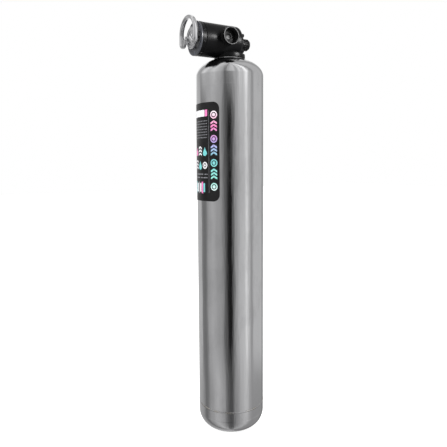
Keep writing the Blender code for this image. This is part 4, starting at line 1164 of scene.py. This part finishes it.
shaft_radius, shaft_rear, shaft_front = reach("spindle")
STUB, SHAFT, SHAFT_FLANGE = 0.0050, 0.0080, 0.0100
shaft = [(0, shaft_front), (STUB, shaft_front), (STUB, hub_rear - FIT), (SHAFT, hub_rear - FIT)]
shaft += [(SHAFT, shaft_rear + SHAFT_FLANGE), (shaft_radius, shaft_rear + SHAFT_FLANGE)]
shaft += [(shaft_radius, shaft_rear), (0, shaft_rear)]
laid("turning_shaft", shaft, 0.0004, "handle", "pipe_plastic", "spindle", ring=False)

nut_radius, nut_rear, nut_front = reach("hub_nut")
ACORN_RADIUS, ACORN_RISE, ACORN_STEPS, NUT_HOLE = 0.0064, 0.0030, 8, 0.0030
acorn = [(0, nut_front)]
for step in range(1, ACORN_STEPS + 1):
    lean = math.pi / 2 * step / ACORN_STEPS
    acorn.append((ACORN_RADIUS * math.sin(lean), nut_front - ACORN_RISE * (1 - math.cos(lean))))
acorn += [(nut_radius, nut_front - 0.0034), (nut_radius, nut_rear), (STUB_HOLE, nut_rear)]
acorn += [(STUB_HOLE, nut_rear + NUT_HOLE), (0, nut_rear + NUT_HOLE)]
laid("hub_acorn_nut", acorn, 0.0003, "handle", "chrome", "hub_nut", ring=False)

# %% Loop route
loop_low, loop_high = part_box("handle_loop")
BAR_THICK, BAR_DEPTH, SQUARENESS = 0.0110, 0.0130, 0.76
LOOP_HALF = loop_high.x - BAR_THICK / 2
LOOP_BOTTOM, LOOP_TOP = -0.0250, 0.0630
bar_front = -loop_low.y
CORNER, CORNER_SWEEP, CORNER_STEPS, ARCH_STEPS = 0.0100, 110.0, 10, 72
arch_rise = (LOOP_HALF + BAR_THICK / 2) * 0.9
shoulder = LOOP_TOP - BAR_THICK / 2 - arch_rise
corner_x, corner_z = LOOP_HALF - CORNER, LOOP_BOTTOM + CORNER + BAR_THICK / 2
right = [(TAB_REACH, -0.0030)]
for step in range(CORNER_STEPS + 1):
    bend = math.radians(CORNER_SWEEP * (step / CORNER_STEPS - 1))
    right.append((corner_x + CORNER * math.cos(bend), corner_z + CORNER * math.sin(bend)))
arch = []
for step in range(ARCH_STEPS + 1):
    bend = math.pi * step / ARCH_STEPS
    arch.append((LOOP_HALF * math.cos(bend), shoulder + arch_rise * math.sin(bend)))
route = [Vector(point) for point in right + arch + [(-x, z) for x, z in reversed(right)]]


def station(index):
    """The frame at one route point: its Z along the bar, its Y out of the valve's front."""
    before, after = route[max(index - 1, 0)], route[min(index + 1, len(route) - 1)]
    ahead = Vector((after.x - before.x, after.y - before.y, 0)).normalized()
    forward = Vector((0, 0, 1))
    side = forward.cross(ahead)
    turned = Matrix((side, forward, ahead)).transposed().to_4x4()
    return Matrix.Translation((route[index].x, route[index].y, bar_front - BAR_DEPTH / 2)) @ turned


bar = bmesh.new()
bmesh.ops.create_circle(bar, cap_ends=True, segments=32, radius=1.0)
for vert in bar.verts:
    squared = [math.copysign(abs(value) ** SQUARENESS, value) for value in vert.co[:2]]
    vert.co.x, vert.co.y = squared[0] * BAR_THICK / 2, squared[1] * BAR_DEPTH / 2
moved(bar, station(0))
front_face = bar.faces[:]
for index in range(1, len(route)):
    grown = bmesh.ops.extrude_face_region(bar, geom=front_face)
    points = [item for item in grown["geom"] if isinstance(item, bmesh.types.BMVert)]
    if index > 1:
        bmesh.ops.delete(bar, geom=front_face, context="FACES")
    front_face = [item for item in grown["geom"] if isinstance(item, bmesh.types.BMFace)]
    step_matrix = station(index) @ station(index - 1).inverted()
    bmesh.ops.transform(bar, matrix=step_matrix, verts=points)
handle = bare("handle_bar", tidy(bar), FINISH["chrome"])
tabs = []
for sign in (1, -1):
    near, far = sorted((sign * (TAB_REACH - TAB_HALF_WIDTH), sign * (TAB_REACH + TAB_HALF_WIDTH)))
    tabs.append(("UNION", round_block((near, -TAB_HALF_HEIGHT, hub_rear + 0.0003),
                                      (far, TAB_HALF_HEIGHT, bar_front - 0.0032), 0.0006)))
carved(handle, tabs)
handle.data.transform(LAY)
belongs(handle, "handle", "chrome", "handle_loop")

# %% [markdown]
# ## The rear cover and the drain union
# Four cap screws hold the rear cover on its gasket. Its spigot takes a union nut with grip ribs,
# which pulls the hose tail against a washer. Barbs on the tail hold the hose.

# %% Cover, gasket, union and tail
cover_low, cover_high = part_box("rear_cover")
cover_radius, cover_rear, cover_face = cover_high.x, -cover_high.y, -cover_low.y
spigot_step = -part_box("cover_screw_1")[1].y + 0.0088
DRAIN_BORE, DRAIN_HOLE, SPIGOT = 0.0050, 0.0053, 0.0145
section = [(DRAIN_BORE, cover_face), (cover_radius, cover_face), (cover_radius, spigot_step + 0.0012)]
section += [(cover_radius - 0.0014, spigot_step), (0.0180, spigot_step), (SPIGOT, spigot_step - 0.0008)]
section += ridges(SPIGOT, spigot_step - 0.003, cover_rear + 0.001, 6, 0.0008)
section += [(0.0138, cover_rear), (DRAIN_BORE, cover_rear)]
laid("rear_plate", section, 0.0003, "vessel", "valve_plastic", "rear_cover")

gasket_radius, gasket_rear, gasket_front = reach("cover_gasket")
section = [(DRAIN_HOLE, gasket_front), (gasket_radius, gasket_front)]
section += [(gasket_radius, gasket_rear), (DRAIN_HOLE, gasket_rear)]
laid("plate_gasket", section, 0.0002, "vessel", "rubber", "cover_gasket")

union_radius, union_rear, union_front = reach("drain_nut")
wall = union_radius - 0.0012
UNION_BORE, UNION_MOUTH, UNION_LIP = 0.0149, 0.0103, 0.0054
section = [(UNION_BORE, union_front), (wall - 0.0006, union_front), (wall, union_front - 0.0008)]
section += [(wall, union_front - 0.0022), (wall, union_rear + 0.0040), (wall - 0.0020, union_rear)]
section += [(UNION_MOUTH, union_rear), (UNION_MOUTH, union_rear + UNION_LIP)]
section += [(UNION_BORE, union_rear + UNION_LIP)]
union = spun(section, 2 * MEDIUM, ring=True)
lugged(union, 16, 0.42, union_radius / wall, union_rear + 0.0041, union_front - 0.0021)
piece("union_nut", moved(ease(union, 0.0003, 2), LAY), "vessel", "nut_plastic", "drain_nut")

tail_flange, tail_rear, tail_front = reach("drain_tail")
TAIL_BORE, TAIL_RADIUS, TAIL_FLANGE = 0.0072, 0.0100, 0.0030
section = [(TAIL_BORE, tail_front), (tail_flange, tail_front), (tail_flange, tail_front - TAIL_FLANGE)]
section += [(TAIL_RADIUS, tail_front - TAIL_FLANGE), (TAIL_RADIUS, tail_rear + 0.0022)]
section += [(0.0092, tail_rear + 0.0018), (0.0099, tail_rear + 0.0014), (0.0086, tail_rear)]
section += [(TAIL_BORE, tail_rear)]
laid("hose_tail", section, 0.0002, "vessel", "valve_plastic", "drain_tail")

# %% [markdown]
# ## The pieces kept as they are
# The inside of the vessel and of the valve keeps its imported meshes: riser pipe, strainers, fillings,
# discs and seals. Each takes the finish that its material slot names.

# %% Finishes for the kept nodes
slots = {part["node"]: part["material_slot"] for part in frame["record"]["subparts"]}
kept = [name for name, node in frame["nodes"].items() if not node.hide_render]
for name in kept:
    for socket in frame["nodes"][name].material_slots:
        socket.material = FINISH[slots[name]]
for name in ("valve_moulding", "ring_nut", "position_dial", "rear_plate", "union_nut", "hose_tail"):
    glossy_pieces.objects.link(bpy.data.objects[name])
print("kept nodes:", len(kept), "of", len(slots))

# %% [markdown]
# ## The floor
# The vessel stands on a plain pale sweep. It glows a little, so that it stays as pale as the
# background, and it is hidden from reflections, so the steel shows only the soft boxes.

# %% Floor
FLOOR_SIZE = 24.0
data = bmesh.new()
bmesh.ops.create_grid(data, x_segments=1, y_segments=1, size=FLOOR_SIZE / 2)
floor = bare("studio_floor", data)
made, tree, shader = starts("pale_floor", 0.0, Roughness=0.9, Emission_Strength=0.85)
speckle = noise(tree, object_place(tree), 3.0, detail=3.0)
pale = blended(tree, speckle, (0.86, 0.86, 0.86, 1), (0.90, 0.90, 0.90, 1))
tree.links.new(pale, shader.inputs["Base Color"])
tree.links.new(pale, shader.inputs["Emission Color"])
floor.data.materials.append(made)
floor.visible_glossy = False
